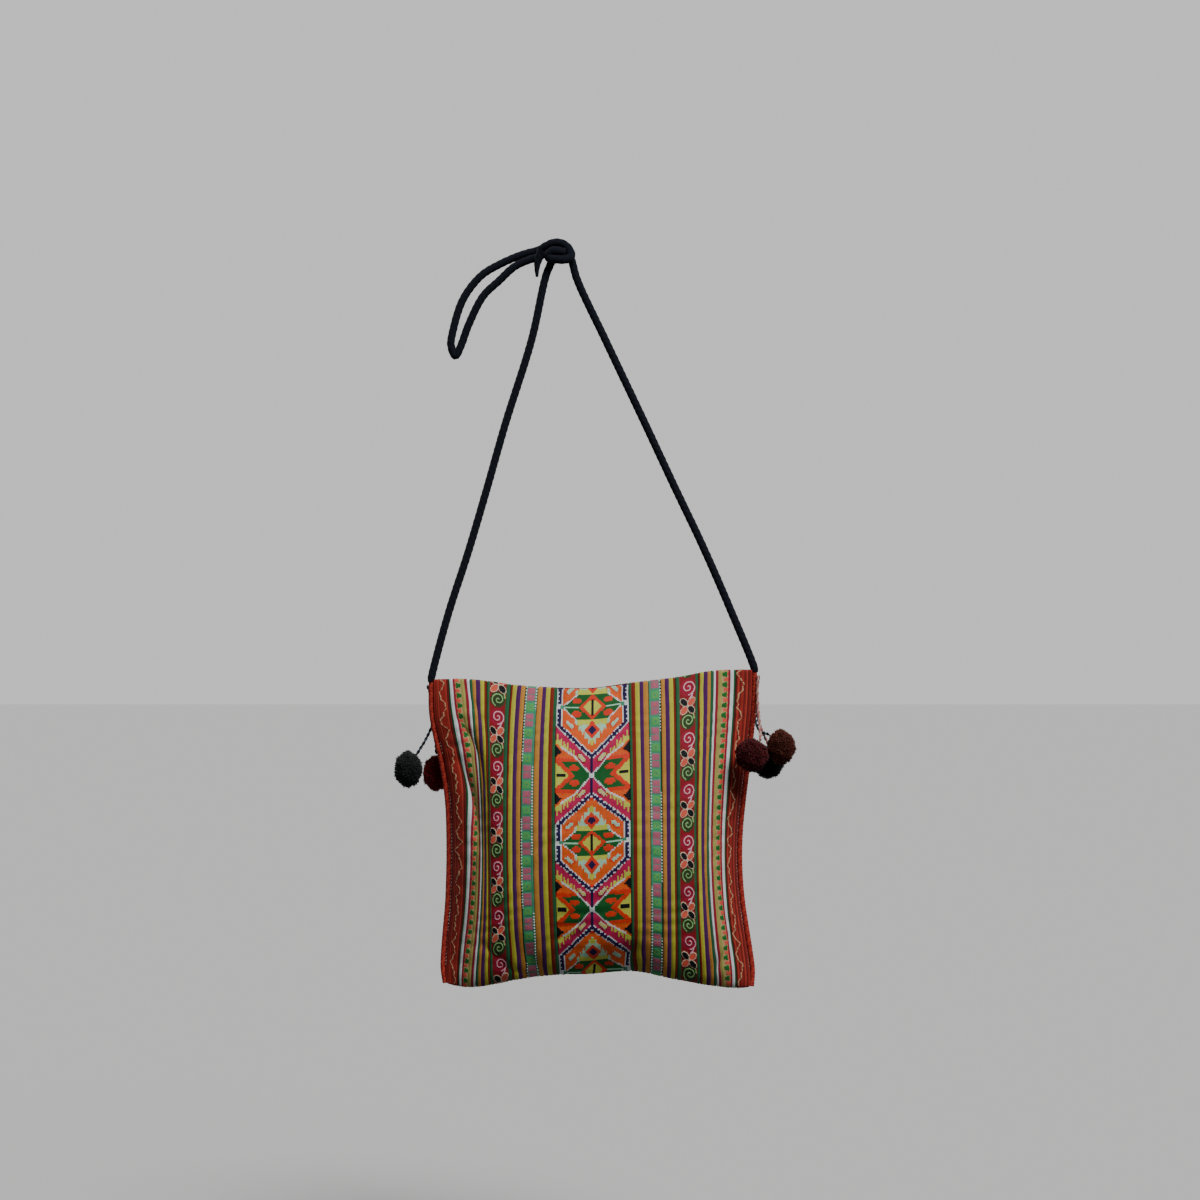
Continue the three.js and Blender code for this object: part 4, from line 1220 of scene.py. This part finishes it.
@dataclass
class SewnBands:
    """The bands sewn over one face of the bag, each turned in over the hem."""

    side: ClothSide
    detail: float = 1.0
    tuck: float = 5.0
    made: list[bpy.types.Object] = field(default_factory=list)

    def stations(self, rows: int) -> tuple[Array, Array, Array]:
        """Place the rows of a band, from its end inside the hem to the bottom.

        Args:
            rows: How many rows of cells cover the outer face.

        Returns:
            The share down, the angle over the hem and the distance run, of each row.
        """
        inside = np.array([self.tuck, self.tuck / 2]) / CLOTH_DROP
        turn = np.array(HEM_TURNS) * math.pi
        outer = np.linspace(0, 1, rows + 1)
        down = np.concatenate([inside, np.zeros(len(turn)), outer])
        angle = np.concatenate([[math.pi] * 2, turn, np.zeros(rows + 1)])
        hem = -HEM_ROLL * np.array(HEM_TURNS)
        run = np.concatenate([-inside * CLOTH_DROP - HEM_ROLL, hem, outer * CLOTH_DROP])
        return down, angle, run

    def sew(self, band: Band, start: float, suffix: str) -> bpy.types.Object:
        """Build one band.

        Args:
            band: The band.
            start: Where its left edge lies across the cloth, in millimetres.
            suffix: What follows its name.

        Returns:
            The piece.
        """
        columns = max(8, int(band.columns * (1 if self.detail == 1 else COARSE)))
        down, angle, run = self.stations(int(band.rows * self.detail))
        right = suffix == "_right"
        half_gap = FORM.gap / 2
        flat = np.linspace(half_gap, band.width - half_gap, columns + 1)
        across = (start + flat) / CLOTH_WIDTH
        cell_flat, cell_run = np.meshgrid(self.cell_places(flat, band), self.cell_places(run, band))
        middleness = 4 * (start + cell_flat) / CLOTH_WIDTH * (1 - (start + cell_flat) / CLOTH_WIDTH)
        closing = FORM.foreshortening * middleness * CLOTH_DROP / (2 * math.pi)
        outer = np.clip(cell_run / CLOTH_DROP, 0, 1)
        cell_run = cell_run - closing * np.sin(2 * math.pi * outer)
        from_seam = band.width - cell_flat if right else cell_flat
        chart = Chart(from_seam, cell_flat, cell_run, band.width)
        band.chart(chart, right)
        edged = np.pad(chart.height, 1, mode="edge")
        height = (edged[:-1, :-1] + edged[1:, :-1] + edged[:-1, 1:] + edged[1:, 1:]) / 4
        if band.stitched:
            height[len(HEM_TURNS) % 2 :: 2] -= STITCH_GROOVE
            height[:, ::2] -= STITCH_GROOVE
        height[:, [0, -1]] = np.minimum(height[:, [0, -1]], EDGE_HEIGHT)
        grid = cloth_grid(across, down, angle)
        outside = FORM.place(self.side, *grid, FORM.gap + height)
        under_at = np.unique(np.linspace(0, columns, max(2, columns // 10) + 1).round().astype(int))
        under = FORM.place(
            self.side, *(part[:, under_at] for part in grid), np.full(grid[0][:, under_at].shape, FORM.gap)
        )
        used = sorted(set(np.unique(chart.thread)))
        slot_of = np.full(len(YARNS), 0)
        slot_of[used] = np.arange(len(used))
        buffer = MeshBuffer()
        self.close_strip(buffer, outside, under, under_at, slot_of[chart.thread])
        materials = [band.finish.material(YARNS[i]) for i in used]
        name = f"{self.side.name}_{band.name}{suffix}"
        piece = buffer.build(f"sewn_{name}", materials)
        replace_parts(piece, name)
        self.made.append(piece)
        return piece

    @staticmethod
    def cell_places(edges: Array, band: Band) -> Array:
        """Give the middle of each cell, or of the stitch of two cells that it belongs to."""
        if not band.stitched:
            return (edges[1:] + edges[:-1]) / 2
        odd = len(edges) % 2 == 0
        inner = edges[1:] if odd else edges
        middles = np.repeat(inner[1::2], 2)
        return np.concatenate([[(edges[0] + edges[1]) / 2], middles]) if odd else middles

    def close_strip(
        self, buffer: MeshBuffer, outside: Array, under: Array, under_at: Array, slots: Array
    ) -> None:
        """Join a band's patterned face, its underside and its edges into one closed skin.

        Args:
            buffer: The piece.
            outside: The points of the patterned face.
            under: The points of the underside, in fewer columns.
            under_at: The column of the patterned face that each column of the underside lies under.
            slots: The material slot of each patterned cell.
        """
        rows, columns = outside.shape[:2]
        thin = under.shape[1]
        top = buffer.add(outside)
        bottom = buffer.add(under)
        sheet, under_sheet = (
            np.stack(np.meshgrid(np.linspace(*ends, count), np.linspace(0, 1, rows)), axis=-1).reshape(-1, 2)
            for ends, count in (((0, 0.8), columns), ((0.82, 0.88), thin))
        )
        cells = grid_faces(top, rows, columns)
        below = grid_faces(bottom, rows, thin)[:, ::-1]
        flip = slice(None, None, 1 if self.side.facing < 0 else -1)
        parts = [
            (cells, slots.ravel(), sheet[cells - top]),
            (below, np.full(len(below), int(slots[0, 0])), under_sheet[below - bottom]),
        ]
        across = np.arange(rows - 1)
        for place, edge, low, turn in ((0.9, 0, 0, 1), (0.93, columns - 1, thin - 1, -1)):
            a, b = top + across * columns + edge, top + (across + 1) * columns + edge
            c, d = bottom + (across + 1) * thin + low, bottom + across * thin + low
            v0, v1 = across / (rows - 1), (across + 1) / (rows - 1)
            corners = np.stack([a, d, c, b], axis=1)
            uv = np.stack(
                [
                    np.stack([np.full(rows - 1, place + dx), vv], axis=1)
                    for dx, vv in ((0, v0), (0.02, v0), (0.02, v1), (0, v1))
                ],
                axis=1,
            )
            kinds = slots[:, 0 if edge == 0 else -1]
            parts.append((corners[:, ::turn], kinds, uv[:, ::turn]))
        for place, row, turn in ((0.0, 0, 1), (0.5, rows - 1, -1)):
            above, low = top + row * columns, bottom + row * thin
            parts.append(self.end_faces(above, low, under_at, place, turn, slots[row and -1]))
        for corners, kinds, uv in parts:
            buffer.face(corners[:, flip], kinds, uv[:, flip])

    @staticmethod
    def end_faces(
        top: int, bottom: int, under_at: Array, place: float, turn: int, slots: Array
    ) -> tuple[Array, Array, Array]:
        """Close one short end of a band with triangles.

        Args:
            top: The number of the end row's first patterned point.
            bottom: The number of its first point underneath.
            under_at: The patterned column over each column underneath.
            place: Where the end lies on the bake sheet.
            turn: 1 or -1, for the way round.
            slots: The material slots of the end row.

        Returns:
            The corners, slots and bake places of the triangles.
        """
        corners, kinds, uv = [], [], []
        columns = int(under_at[-1])

        def spot(column: int, level: int) -> tuple[float, float]:
            """Place a point of the end on the bake sheet."""
            return 0.97 + 0.01 * level, place + 0.45 * column / columns

        for number, (start, end) in enumerate(zip(under_at[:-1], under_at[1:])):
            half = (start + end) // 2
            for column in range(start, end):
                low = number if column < half else number + 1
                corners.append((top + column, top + column + 1, bottom + low))
                uv.append((spot(column, 0), spot(column + 1, 0), spot(under_at[low], 1)))
                kinds.append(slots[column])
            corners.append((top + half, bottom + number + 1, bottom + number))
            uv.append((spot(half, 0), spot(end, 1), spot(start, 1)))
            kinds.append(slots[min(half, columns - 1)])
        return np.array(corners)[:, ::turn], np.array(kinds), np.array(uv)[:, ::turn]

    def build(self, centre: Band) -> None:
        """Sew every band of this face.

        Args:
            centre: The band in the middle.
        """
        start = 0.0
        for band in BANDS:
            self.sew(band, start, "_left")
            start += band.width
        self.sew(centre, start, "")
        start += centre.width
        for band in reversed(BANDS):
            self.sew(band, start, "_right")
            start += band.width


@dataclass
class ClothPanel:
    """One face of the bag's lined cloth, with its rolled hem."""

    side: ClothSide
    columns: int = 72
    rows: int = 76
    hem_rows: int = 8

    def build(self, bands: list[bpy.types.Object]) -> bpy.types.Object:
        """Args:
            bands: The pieces sewn on it; not used.

        Returns:
            The piece.
        """
        outer = np.linspace(1, 0, self.rows + 1)
        turn = np.linspace(0, math.pi, self.hem_rows + 1)[1:-1]
        down = np.concatenate([outer, np.zeros(len(turn)), outer[::-1]])
        angle = np.concatenate([np.zeros(self.rows + 1), turn, np.full(self.rows + 1, math.pi)])
        across = np.linspace(0, 1, self.columns + 1)
        grid = cloth_grid(across, down, angle)
        points = FORM.place(self.side, *grid, np.zeros(grid[0].shape))
        buffer = MeshBuffer()
        buffer.add(points)
        rows, columns = points.shape[:2]
        flip = slice(None, None, -1 if self.side.facing < 0 else 1)
        buffer.face(grid_faces(0, rows, columns)[:, flip])
        numbers = np.arange(rows * columns).reshape(rows, columns)
        half = rows // 2
        for column, way in ((0, -1), (columns - 1, 1)):
            edge = numbers[:, column]
            out, back = edge[:half], edge[::-1][:half]
            quads = np.stack([out[:-1], out[1:], back[1:], back[:-1]], axis=1)
            if rows % 2:
                tip = np.array([[out[-1], edge[half], back[-1]]])
                buffer.face(tip[:, ::way][:, flip])
            buffer.face(quads[:, ::way][:, flip])
        first, last = numbers[0], numbers[-1]
        foot = np.stack([first[:-1], first[1:], last[1:], last[:-1]], axis=1)
        buffer.face(foot[:, flip])
        name = f"{self.side.name}_panel"
        piece = buffer.build(f"{self.side.name}_cloth", [CLOTH.material(Thread.LINING)])
        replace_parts(piece, name)
        return piece


@dataclass
class SideBindings:
    """The rolled red edging along both side seams, wrapped with overcast stitches."""

    stitch: float = 3.1
    sides: int = 16
    step: float = 0.7
    overlap: float = 0.3

    @staticmethod
    def route(across: float, outwards: int) -> Array:
        """Place the binding just outside the panels and their bands.

        Args:
            across: 0 for the left seam, 1 for the right.
            outwards: -1 or 1, the way out of the bag.

        Returns:
            The points of its path.
        """
        down = np.array([0, 0.04, 0.1, 0.18, 0.26, 0.34, 0.42, 0.5, 0.58, 0.66, 0.74, 0.82, 0.89, 0.95, 1])
        at = np.full(down.shape, across)
        reach = FORM.wall + FORM.gap + FORM.band_thickness
        edges = [
            FORM.inner(side, at, down) + FORM.outward(side, at, down) * reach for side in (FRONT, BACK)
        ]
        furthest = outwards * np.maximum(outwards * edges[0][:, 0], outwards * edges[1][:, 0])
        x = furthest + outwards * (FORM.gap + FORM.binding_diameter / 2)
        return np.stack([x, np.zeros(len(x)), (edges[0][:, 2] + edges[1][:, 2]) / 2], axis=1)

    def build(self) -> None:
        """Build both bindings."""

        def radius(along: Array, around: Array) -> Array:
            """Round each wrapped stitch."""
            phase = along / self.stitch + around / (2 * math.pi)
            bulge = 0.2 * np.abs(np.sin(math.pi * phase)) ** 0.6
            return FORM.binding_diameter / 2 * (0.95 + bulge) + self.overlap

        def slots(along: Array, around: Array) -> Array:
            """Make every third stitch of the lighter thread."""
            return (np.floor(along / self.stitch + around / (2 * math.pi)) % 3 == 1).astype(np.int32)

        for name, across, outwards in (("left", 0.0, -1), ("right", 1.0, 1)):
            buffer = MeshBuffer()
            path = spaced_path(self.route(across, outwards) - [outwards * self.overlap, 0, 0], self.step)
            sweep(buffer, path, radius, self.sides, slots)
            full_name = f"side_binding_{name}"
            finishes = [TAPE.material(thread) for thread in (Thread.BORDER_RED, Thread.ORANGE_RED)]
            piece = buffer.build(f"rolled_binding_{name}", finishes)
            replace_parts(piece, full_name)


# Strap and strings


@dataclass
class KnottedStrap:
    """The twisted cord strap: two legs, the knot, the hanging bight and the short free end."""

    diameter: float = 7.4
    knot_width: float = 30.0
    knot_height: float = 23.0
    knot_shift: float = -21.0
    bight_reach: float = 101.0
    bight_drop: float = 80.0
    tail_length: float = 23.0
    tail_top: float = 1.45  # the tail's girth at the knot and at its tip, as shares of the cord's
    tail_tip: float = 0.35
    foot_tuck: float = 2.2  # how far each leg's foot runs on into the corner's stitches
    sides: int = 24
    step: float = 1.3
    twist: Twist = Twist()
    knot_route: RowTable = (
        (-0.055, 0.7, 0.61), (0.05, 0.73, 0.57), (0.24, 0.87, 0.3), (0.52, 1, 0), (0.79, 0.93, 0),
        (0.97, 0.67, -0.2), (1, 0.42, -0.52), (0.85, 0.31, -0.8), (0.56, 0.31, -0.84),
        (0.34, 0.37, -0.66), (0.31, 0.48, -0.56), (0.41, 0.62, -0.68), (0.54, 0.66, -0.72),
        (0.7, 0.63, -0.5), (0.81, 0.6, -0.36),
    )
    leg_bends: RowTable = (
        (0, 0, 0), (0.15, -0.24, 0.33), (0.3, 0, 0.41), (0.45, 0.03, 0.2), (0.6, -0.02, 0.05),
        (0.8, 0.2, -0.22), (0.95, -0.33, -0.38), (1, -0.1, 0),
    )
    bight_route: RowTable = (
        (0.216, -0.204, 0.61), (0.229, -0.2, 0.61), (0.27, -0.188, 0.61), (0.37, -0.15, 0.6),
        (0.55, -0.05, 0.5), (0.72, 0.085, 0.3), (0.88, 0.35, 0.1), (0.97, 0.7, 0), (0.99, 0.88, 0),
        (0.95, 1, 0), (0.9, 0.88, 0), (0.83, 0.64, 0), (0.7, 0.32, -0.1), (0.56, 0.15, -0.15),
        (0.41, -0.02, -0.15), (0.235, -0.11, -0.15), (0.175, -0.12, -0.14),
    )
    tail_route: RowTable = ((0, 0, 0), (-0.15, 0, -0.3), (-0.21, 0, -0.65), (-0.21, 0, -1))
    left_turn: RowTable = ((-9.0, 5.2, 16.5), (-12.5, 8.3, 16.5))  # behind the knot, in millimetres
    right_turn: RowTable = ((5.5, 5.8, 13.0), (0.5, 6.9, 16.2))
    knot_swell: float = 1.1  # the loose turns of the knot are this much thicker

    def cord(
        self, name: str, path: Array, girth: Callable[[Array], Array] | None = None
    ) -> bpy.types.Object:
        """Build one stretch of the strap.

        Args:
            name: The piece's name, which is its node's.
            path: The points that it follows.
            girth: How it tapers, if it does.

        Returns:
            The piece.
        """
        buffer = MeshBuffer()
        sweep(buffer, path, self.twist.radius(self.diameter, girth), self.sides, self.twist.slots)
        # The second slot colours the grooves between the strands darker: painted shade
        finishes = [CORD.material(wool) for wool in (Wool.STRAP_NAVY, Wool.STRAP_GROOVE_PAINTED_SHADE)]
        piece = buffer.build(f"twisted_{name}", finishes)
        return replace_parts(piece, name)

    def rounded(self, run: Array, full: float) -> Array:
        """Give a leg's girth: a little less at its sewn foot, and rounded off at its head in the knot."""
        foot = lerp(0.78, 1.0, np.clip(run / 4, 0, 1))
        head = np.clip((run - full + self.diameter / 2) / (self.diameter / 2), 0, 0.985)
        return foot * np.sqrt(1 - head**2)

    def build(self) -> None:
        d = self.diameter
        turns = np.array([
            (self.knot_shift + a * self.knot_width, depth * d, up * self.knot_height)
            for a, up, depth in self.knot_route
        ])
        knot = self.cord(
            "strap_knot", spaced_path(turns, self.step), lambda run: np.full(run.shape, self.knot_swell)
        )
        top = np.array([self.knot_shift + 0.14 * self.knot_width, -1.25 * d, 0.6 * self.knot_height])
        tail_path = spaced_path(top + self.tail_length * np.array(self.tail_route), self.step / 2)
        full = length_of(tail_path)
        tail = self.cord(
            "strap_tail", tail_path, lambda run: lerp(self.tail_top, self.tail_tip, (run / full) ** 0.9)
        )
        heads = {
            "left": (0, np.array([-0.76 * d, 0.31 * d, 0.56 * self.knot_height])),
            "right": (1, np.array([1.22 * d, 0.56 * d, 0.38 * self.knot_height])),
        }
        for name, (number, head) in heads.items():
            foot = SideBindings.route(float(number), 1 if number else -1)[0] + [0, 0, 0.2 * d + FORM.gap]
            route = np.array([
                foot + (head - foot) * row[0] + [row[1 + number] * d, 0, 0] for row in self.leg_bends
            ])
            turn = self.right_turn if number else self.left_turn
            path = spaced_path(np.vstack([route[:1] - [0, 0, self.foot_tuck], route, turn]), self.step)
            full = length_of(path)
            leg = self.cord(f"strap_{name}", path, lambda run: self.rounded(run, full))
            LOG.info("strap_%s is %.0f mm long", name, length_of(path))
        path = spaced_path(np.array([
            (-a * self.bight_reach, depth * d, -drop * self.bight_drop) for a, drop, depth in self.bight_route
        ]), self.step)
        bight = self.cord("strap_bight", path)
        LOG.info("strap_bight is %.0f mm long", length_of(path))


@dataclass(frozen=True)
class Pompom:
    """A wool ball with its string.

    right, back and drop place its middle from its corner, wide, deep and tall give its shape, and passes
    are the places that its string goes by. string_start is in degrees round the binding, and enters in
    degrees from the ball's top.
    """

    name: str
    right: float
    back: float
    drop: float
    wide: float
    deep: float
    tall: float
    string_start: float
    passes: RowTable
    enters: float
    wool: Wool
    slot: str
    strands: tuple[Wool, Wool]
    string_slot: str
    seed: int

    def radii(self, diameter: float) -> Array:
        """Give its radii along x, y and z, for balls of a diameter."""
        return np.array([self.wide, self.deep, self.tall]) * diameter / 2


POMPOMS = (
    Pompom("left_grey", -0.247, 0.047, 0.94, 0.87, 0.87, 1.1, 20,
           ((-0.01, 0.055, 0.14), (0.018, 0.07, 0.27), (0.02, 0.068, 0.42), (-0.05, 0.06, 0.6)), 35,
           Wool.GREY, "wool_grey",
           (Wool.STRING_BLUE, Wool.GREY), "cord_grey_blue", 11),
    Pompom("left_red", 0.035, 0.318, 1, 0.83, 0.83, 1.09, 80,
           ((0, 0.1, 0.15), (0.01, 0.17, 0.38), (0.03, 0.27, 0.62)), 0, Wool.DARK_RED, "wool_dark_red",
           (Wool.STRING_BLUE, Wool.STRAP_NAVY), "cord_grey_blue", 12),
    Pompom("right_crimson", -0.053, -0.376, 0.87, 1, 0.93, 1, -45,
           ((0.026, -0.045, 0.2), (0.03, -0.08, 0.36), (0.042, -0.2, 0.55)), 31,
           Wool.CRIMSON_WOOL, "wool_crimson",
           (Wool.STRING_PINK, Wool.STRING_PALE), "cord_pink", 13),
    Pompom("right_orange", 0.27, -0.2, 0.794, 0.87, 0.87, 1.05, 15,
           ((0.03, 0.06, 0.19), (0.004, 0.068, 0.37), (0.012, 0.025, 0.53), (0.05, -0.08, 0.625)), -49,
           Wool.ORANGE_WOOL, "wool_orange",
           (Wool.STRING_BLUE, Wool.GREY), "cord_grey_blue", 14),
    Pompom("right_grey", 0.153, 0.153, 0.976, 1, 0.93, 1, 75,
           ((0.012, 0.11, 0.19), (0.024, 0.14, 0.4), (0.08, 0.15, 0.62)), 0, Wool.GREY, "wool_grey",
           (Wool.STRING_PINK, Wool.STRING_BLUE), "cord_pink", 15),
)


def spread_round(heights: Array) -> Array:
    """Spread directions evenly round a ball, one for each height from 1 at its top to -1."""
    girth = np.sqrt(np.maximum(0, 1 - heights**2))
    turn = np.arange(len(heights)) * math.pi * (3 - math.sqrt(5))
    return np.stack([girth * np.cos(turn), girth * np.sin(turn), heights], axis=1)


@dataclass
class HangingPompoms:
    """The pompoms that hang from the bag's upper corners on doubled strings."""

    diameter: float = 30.0
    drop: float = 85.0
    string_diameter: float = 3.0
    strand: Twist = Twist(2, 0.12, 3.2, 0.05)
    strand_diameter: float = 1.55
    locks: int = 24
    lock_relief: float = 0.06
    core: float = 0.84  # the core's share of the ball
    tuft_root: float = 0.76  # where the tufts start, as a share of the ball
    tufts: int = 3300
    strap_diameter: float = 7.4

    def lock_shape(self, way: Array) -> Array:
        """Give a ball's radius in each direction, as a share: high at each lock's tip.

        Args:
            way: Directions of length one.

        Returns:
            The shares.
        """
        tips = spread_round(1 - 2 * np.arange(self.locks) / (self.locks - 1))
        nearest = np.arccos(np.clip(way @ tips.T, -1, 1)).min(axis=1)
        spread = math.acos(1 - 2 / self.locks)
        return 1 + self.lock_relief * np.cos(math.pi * np.minimum(1, nearest / spread))

    def ball(self, pompom: Pompom, middle: Array) -> bpy.types.Object:
        """Build one wool ball of clipped tufts over a core.

        Args:
            pompom: The pompom.
            middle: Where its middle is.

        Returns:
            The piece.
        """
        chance = np.random.default_rng(pompom.seed)
        radii = pompom.radii(self.diameter)
        number = np.arange(self.tufts)
        way = spread_round(1 - 2 * (number + 0.5) / self.tufts)
        way = unit(way + chance.normal(0, 0.025, way.shape))
        shape = self.lock_shape(way)[:, None]
        lean = chance.normal(0, 0.075, way.shape)
        lean -= way * (lean * way).sum(axis=1, keepdims=True)
        reach = 1 + chance.normal(0, 0.035, (self.tufts, 1))
        side = unit(np.cross(way, chance.normal(0, 1, way.shape)))
        other = np.cross(way, side)
        buffer = MeshBuffer()
        rings = []
        for level, width in ((self.tuft_root, 0.62), (0.93, 0.42)):
            spine = unit(way + lean * (level - self.tuft_root) * 4) * shape * level * reach
            ring = [
                (spine * radii)[:, None] + width * (
                    side * math.cos(a) + other * math.sin(a)
                )[:, None] for a in (0, 2 * math.pi / 3, 4 * math.pi / 3)
            ]
            rings.append(np.concatenate(ring, axis=1))
        tip = unit(way + lean) * shape * reach * radii
        points = np.concatenate([rings[0], rings[1], tip[:, None]], axis=1) + middle
        buffer.add(points)
        base = number[:, None] * 7
        kinds = (chance.random(self.tufts) < 0.4).astype(np.int32)
        for k in range(3):
            n = (k + 1) % 3
            buffer.face(base + np.array([[k, n, n + 3, k + 3]]), kinds)
            buffer.face(base + np.array([[k + 3, n + 3, 6]]), kinds)
        buffer.face(base + np.array([[2, 1, 0]]), kinds)
        self.fill(buffer, middle, radii)
        full_name = f"pompom_{pompom.name}"
        materials = [finish.material(pompom.wool) for finish in (FLEECE, FLEECE_TIP)]
        piece = buffer.build(f"wool_{full_name}", materials)
        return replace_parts(piece, full_name)

    def fill(self, buffer: MeshBuffer, middle: Array, radii: Array) -> None:
        """Fill a ball's middle, so that no light shows between its tufts.

        Args:
            buffer: The pompom's piece.
            middle: Where its middle is.
            radii: Its radii along x, y and z.
        """
        rows, columns = 18, 32
        polar, around = np.meshgrid(
            np.linspace(0.12, math.pi - 0.12, rows), np.linspace(0, 2 * math.pi, columns, endpoint=False),
            indexing="ij",
        )
        way = np.stack(
            [np.sin(polar) * np.cos(around), np.sin(polar) * np.sin(around), np.cos(polar)], axis=-1
        )
        shape = self.lock_shape(way.reshape(-1, 3)).reshape(rows, columns, 1)
        first = buffer.add(way * shape * radii * self.core + middle)
        buffer.face(grid_faces(first, rows, columns, closed=True))
        for row, sign in ((0, 1), (rows - 1, -1)):
            pole = buffer.add(middle[None] + np.array([[0, 0, sign * radii[2] * self.core]]))
            ring = first + row * columns + np.arange(columns)
            fan = np.stack([ring, np.roll(ring, -1), np.full(columns, pole)], axis=1)
            buffer.face(fan[:, ::sign])

    def build(self) -> None:
        """Build every pompom with its string."""
        for pompom in POMPOMS:
            left = pompom.name.startswith("left")
            corner = SideBindings.route(0.0 if left else 1.0, -1 if left else 1)[0]
            middle = corner + self.drop * np.array([pompom.right, pompom.back, -pompom.drop])
            ball = self.ball(pompom, middle)
            self.string(pompom, corner, -1 if left else 1, middle)

    def string(
        self, pompom: Pompom, corner: Array, outwards: int, middle: Array
    ) -> None:
        """Args:
            pompom: The pompom.
            corner: The top of the binding that it is tied to.
            outwards: -1 at the left, 1 at the right.
            middle: The pompom's middle.
        """
        around = math.radians(pompom.string_start)
        standoff = FORM.binding_diameter / 2 + self.string_diameter / 2 + FORM.gap
        start = corner + np.array(
            [outwards * math.cos(around) * standoff, math.sin(around) * standoff, -self.strap_diameter / 2]
        )
        passed = [corner + self.drop * np.array([x, y, -z]) for x, y, z in pompom.passes]
        aside = math.radians(pompom.enters)
        radii = pompom.radii(self.diameter)
        entry = np.array([math.sin(aside), 0, math.cos(aside)])
        surface = middle + entry * radii * self.lock_shape(entry[None])[0]
        normal = unit(entry / radii)
        lined = float(unit(surface - passed[-1]) @ -normal)
        clearance = FORM.gap / 2 + self.string_diameter / 2 * math.sqrt(max(0.0, 1 - lined**2))
        path = spaced_path(np.array([start, *passed, surface + normal * clearance]), 0.8)
        _, side, other = frames_along(path)
        run = np.linspace(0, length_of(path), len(path))
        buffer = MeshBuffer()
        for number in (0, 1):
            phase = run / 9.0 * 2 * math.pi + math.pi * number
            strand = path + 0.72 * (side * np.cos(phase)[:, None] + other * np.sin(phase)[:, None])
            sweep(buffer, strand, self.strand.radius(self.strand_diameter), 9, number)
        full_name = f"pompom_cord_{pompom.name}"
        finishes = [CORD.material(wool) for wool in pompom.strands]
        piece = buffer.build(f"string_{pompom.name}", finishes)
        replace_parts(piece, full_name)
        LOG.info("%s is %.0f mm long", full_name, length_of(path))


# Studio


@dataclass
class Studio:
    """The camera, the soft lights and the pale floor."""

    frame_width: float = 1.0909
    aim: tuple[float, float] = (0.03545, -0.3018)
    distance: float = 2.4
    floor: float = -0.95
    reach: float = 14.0
    ambient: float = 0.12
    backdrop: float = 0.92
    suns: tuple[tuple[str, tuple[float, float, float], float, float], ...] = (
        ("key_light", (0.38, -0.6, 0.84), 30, 3.15),
        ("back_light", (-0.5, 0.75, 0.6), 60, 1.1),
    )

    def camera(self) -> None:
        """Place the camera square to the bag's front."""
        data = bpy.data.cameras.new("camera")
        data.sensor_width = 36.0
        data.lens = 36.0 * self.distance / self.frame_width
        made = new_object("camera", data)
        made.location = (self.aim[0], -self.distance, self.aim[1])
        made.rotation_euler = (math.pi / 2, 0, 0)
        bpy.context.scene.camera = made

    def sun(self, name: str, source: tuple[float, float, float], spread: float, power: float) -> None:
        """Shine one broad, even light on everything.

        Args:
            name: Its name.
            source: The direction that it comes from.
            spread: How many degrees wide its source looks, which softens its shadows.
            power: Its strength.
        """
        data = bpy.data.lights.new(name, "SUN")
        data.angle = math.radians(spread)
        data.energy = power
        made = new_object(name, data)
        made.rotation_euler = (-Vector(source)).to_track_quat("-Z", "Y").to_euler()

    @staticmethod
    def split(sheet: NodeSheet, dim: bpy.types.Node, pale: bpy.types.Node) -> bpy.types.NodeSocket:
        """Show the pale shader to the camera, and throw only the dim one's light on the bag."""
        seen = sheet.add("ShaderNodeLightPath").outputs["Is Camera Ray"]
        both = sheet.add("ShaderNodeMixShader", Fac=seen, i1=dim.outputs[0], i2=pale.outputs[0])
        return both.outputs[0]

    def world(self) -> None:
        """Surround the bag with dim light before a pale backdrop."""
        made = bpy.data.worlds.new("studio")
        sheet = NodeSheet.cleared(made)
        dim = sheet.add("ShaderNodeBackground", Color=(0.8, 0.81, 0.83, 1), Strength=self.ambient)
        pale = sheet.add("ShaderNodeBackground", Color=(0.8, 0.8, 0.8, 1), Strength=self.backdrop)
        sheet.add("ShaderNodeOutputWorld", Surface=self.split(sheet, dim, pale))
        bpy.context.scene.world = made

    def pale_floor(self) -> bpy.types.Material:
        """Make a pale floor that throws little light back up on the bag."""
        made = bpy.data.materials.new("pale_floor")
        sheet = NodeSheet.cleared(made)
        dim = sheet.add("ShaderNodeBsdfDiffuse", Color=(0.12, 0.12, 0.12, 1))
        pale = sheet.add("ShaderNodeBsdfDiffuse", Color=(0.6, 0.6, 0.595, 1))
        sheet.add("ShaderNodeOutputMaterial", Surface=self.split(sheet, dim, pale))
        return made

    def build(self) -> None:
        """Lay the floor and hang the lights."""
        mesh = bpy.data.meshes.new("studio_floor")
        far = self.reach
        ring = ((-far, -far), (far, -far), (far, far), (-far, far))
        corners = [(x, y, self.floor) for x, y in ring]
        mesh.from_pydata(corners, [], [(0, 1, 2, 3)])
        mesh.materials.append(self.pale_floor())
        ground = new_object("studio_floor", mesh)
        ground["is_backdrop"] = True
        self.world()
        for light in self.suns:
            self.sun(*light)


def main() -> None:
    """Build the bag piece by piece."""
    studio = Studio()
    studio.camera()
    KnottedStrap().build()
    HangingPompoms().build()
    SideBindings().build()
    for side, centre, detail in ((FRONT, CENTRE, 1.0), (BACK, BACK_CENTRE, 0.5)):
        bands = SewnBands(side, detail)
        bands.build(centre)
        ClothPanel(side).build(bands.made)
    studio.build()
    bpy.context.view_layer.update()
    shown = [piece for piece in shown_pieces() if piece.type == "MESH"]
    LOG.info("%d triangles", sum(len(p.vertices) - 2 for piece in shown for p in piece.data.polygons))


if __name__ == "__main__":
    logging.basicConfig(level=logging.INFO, format="%(message)s")
    main()
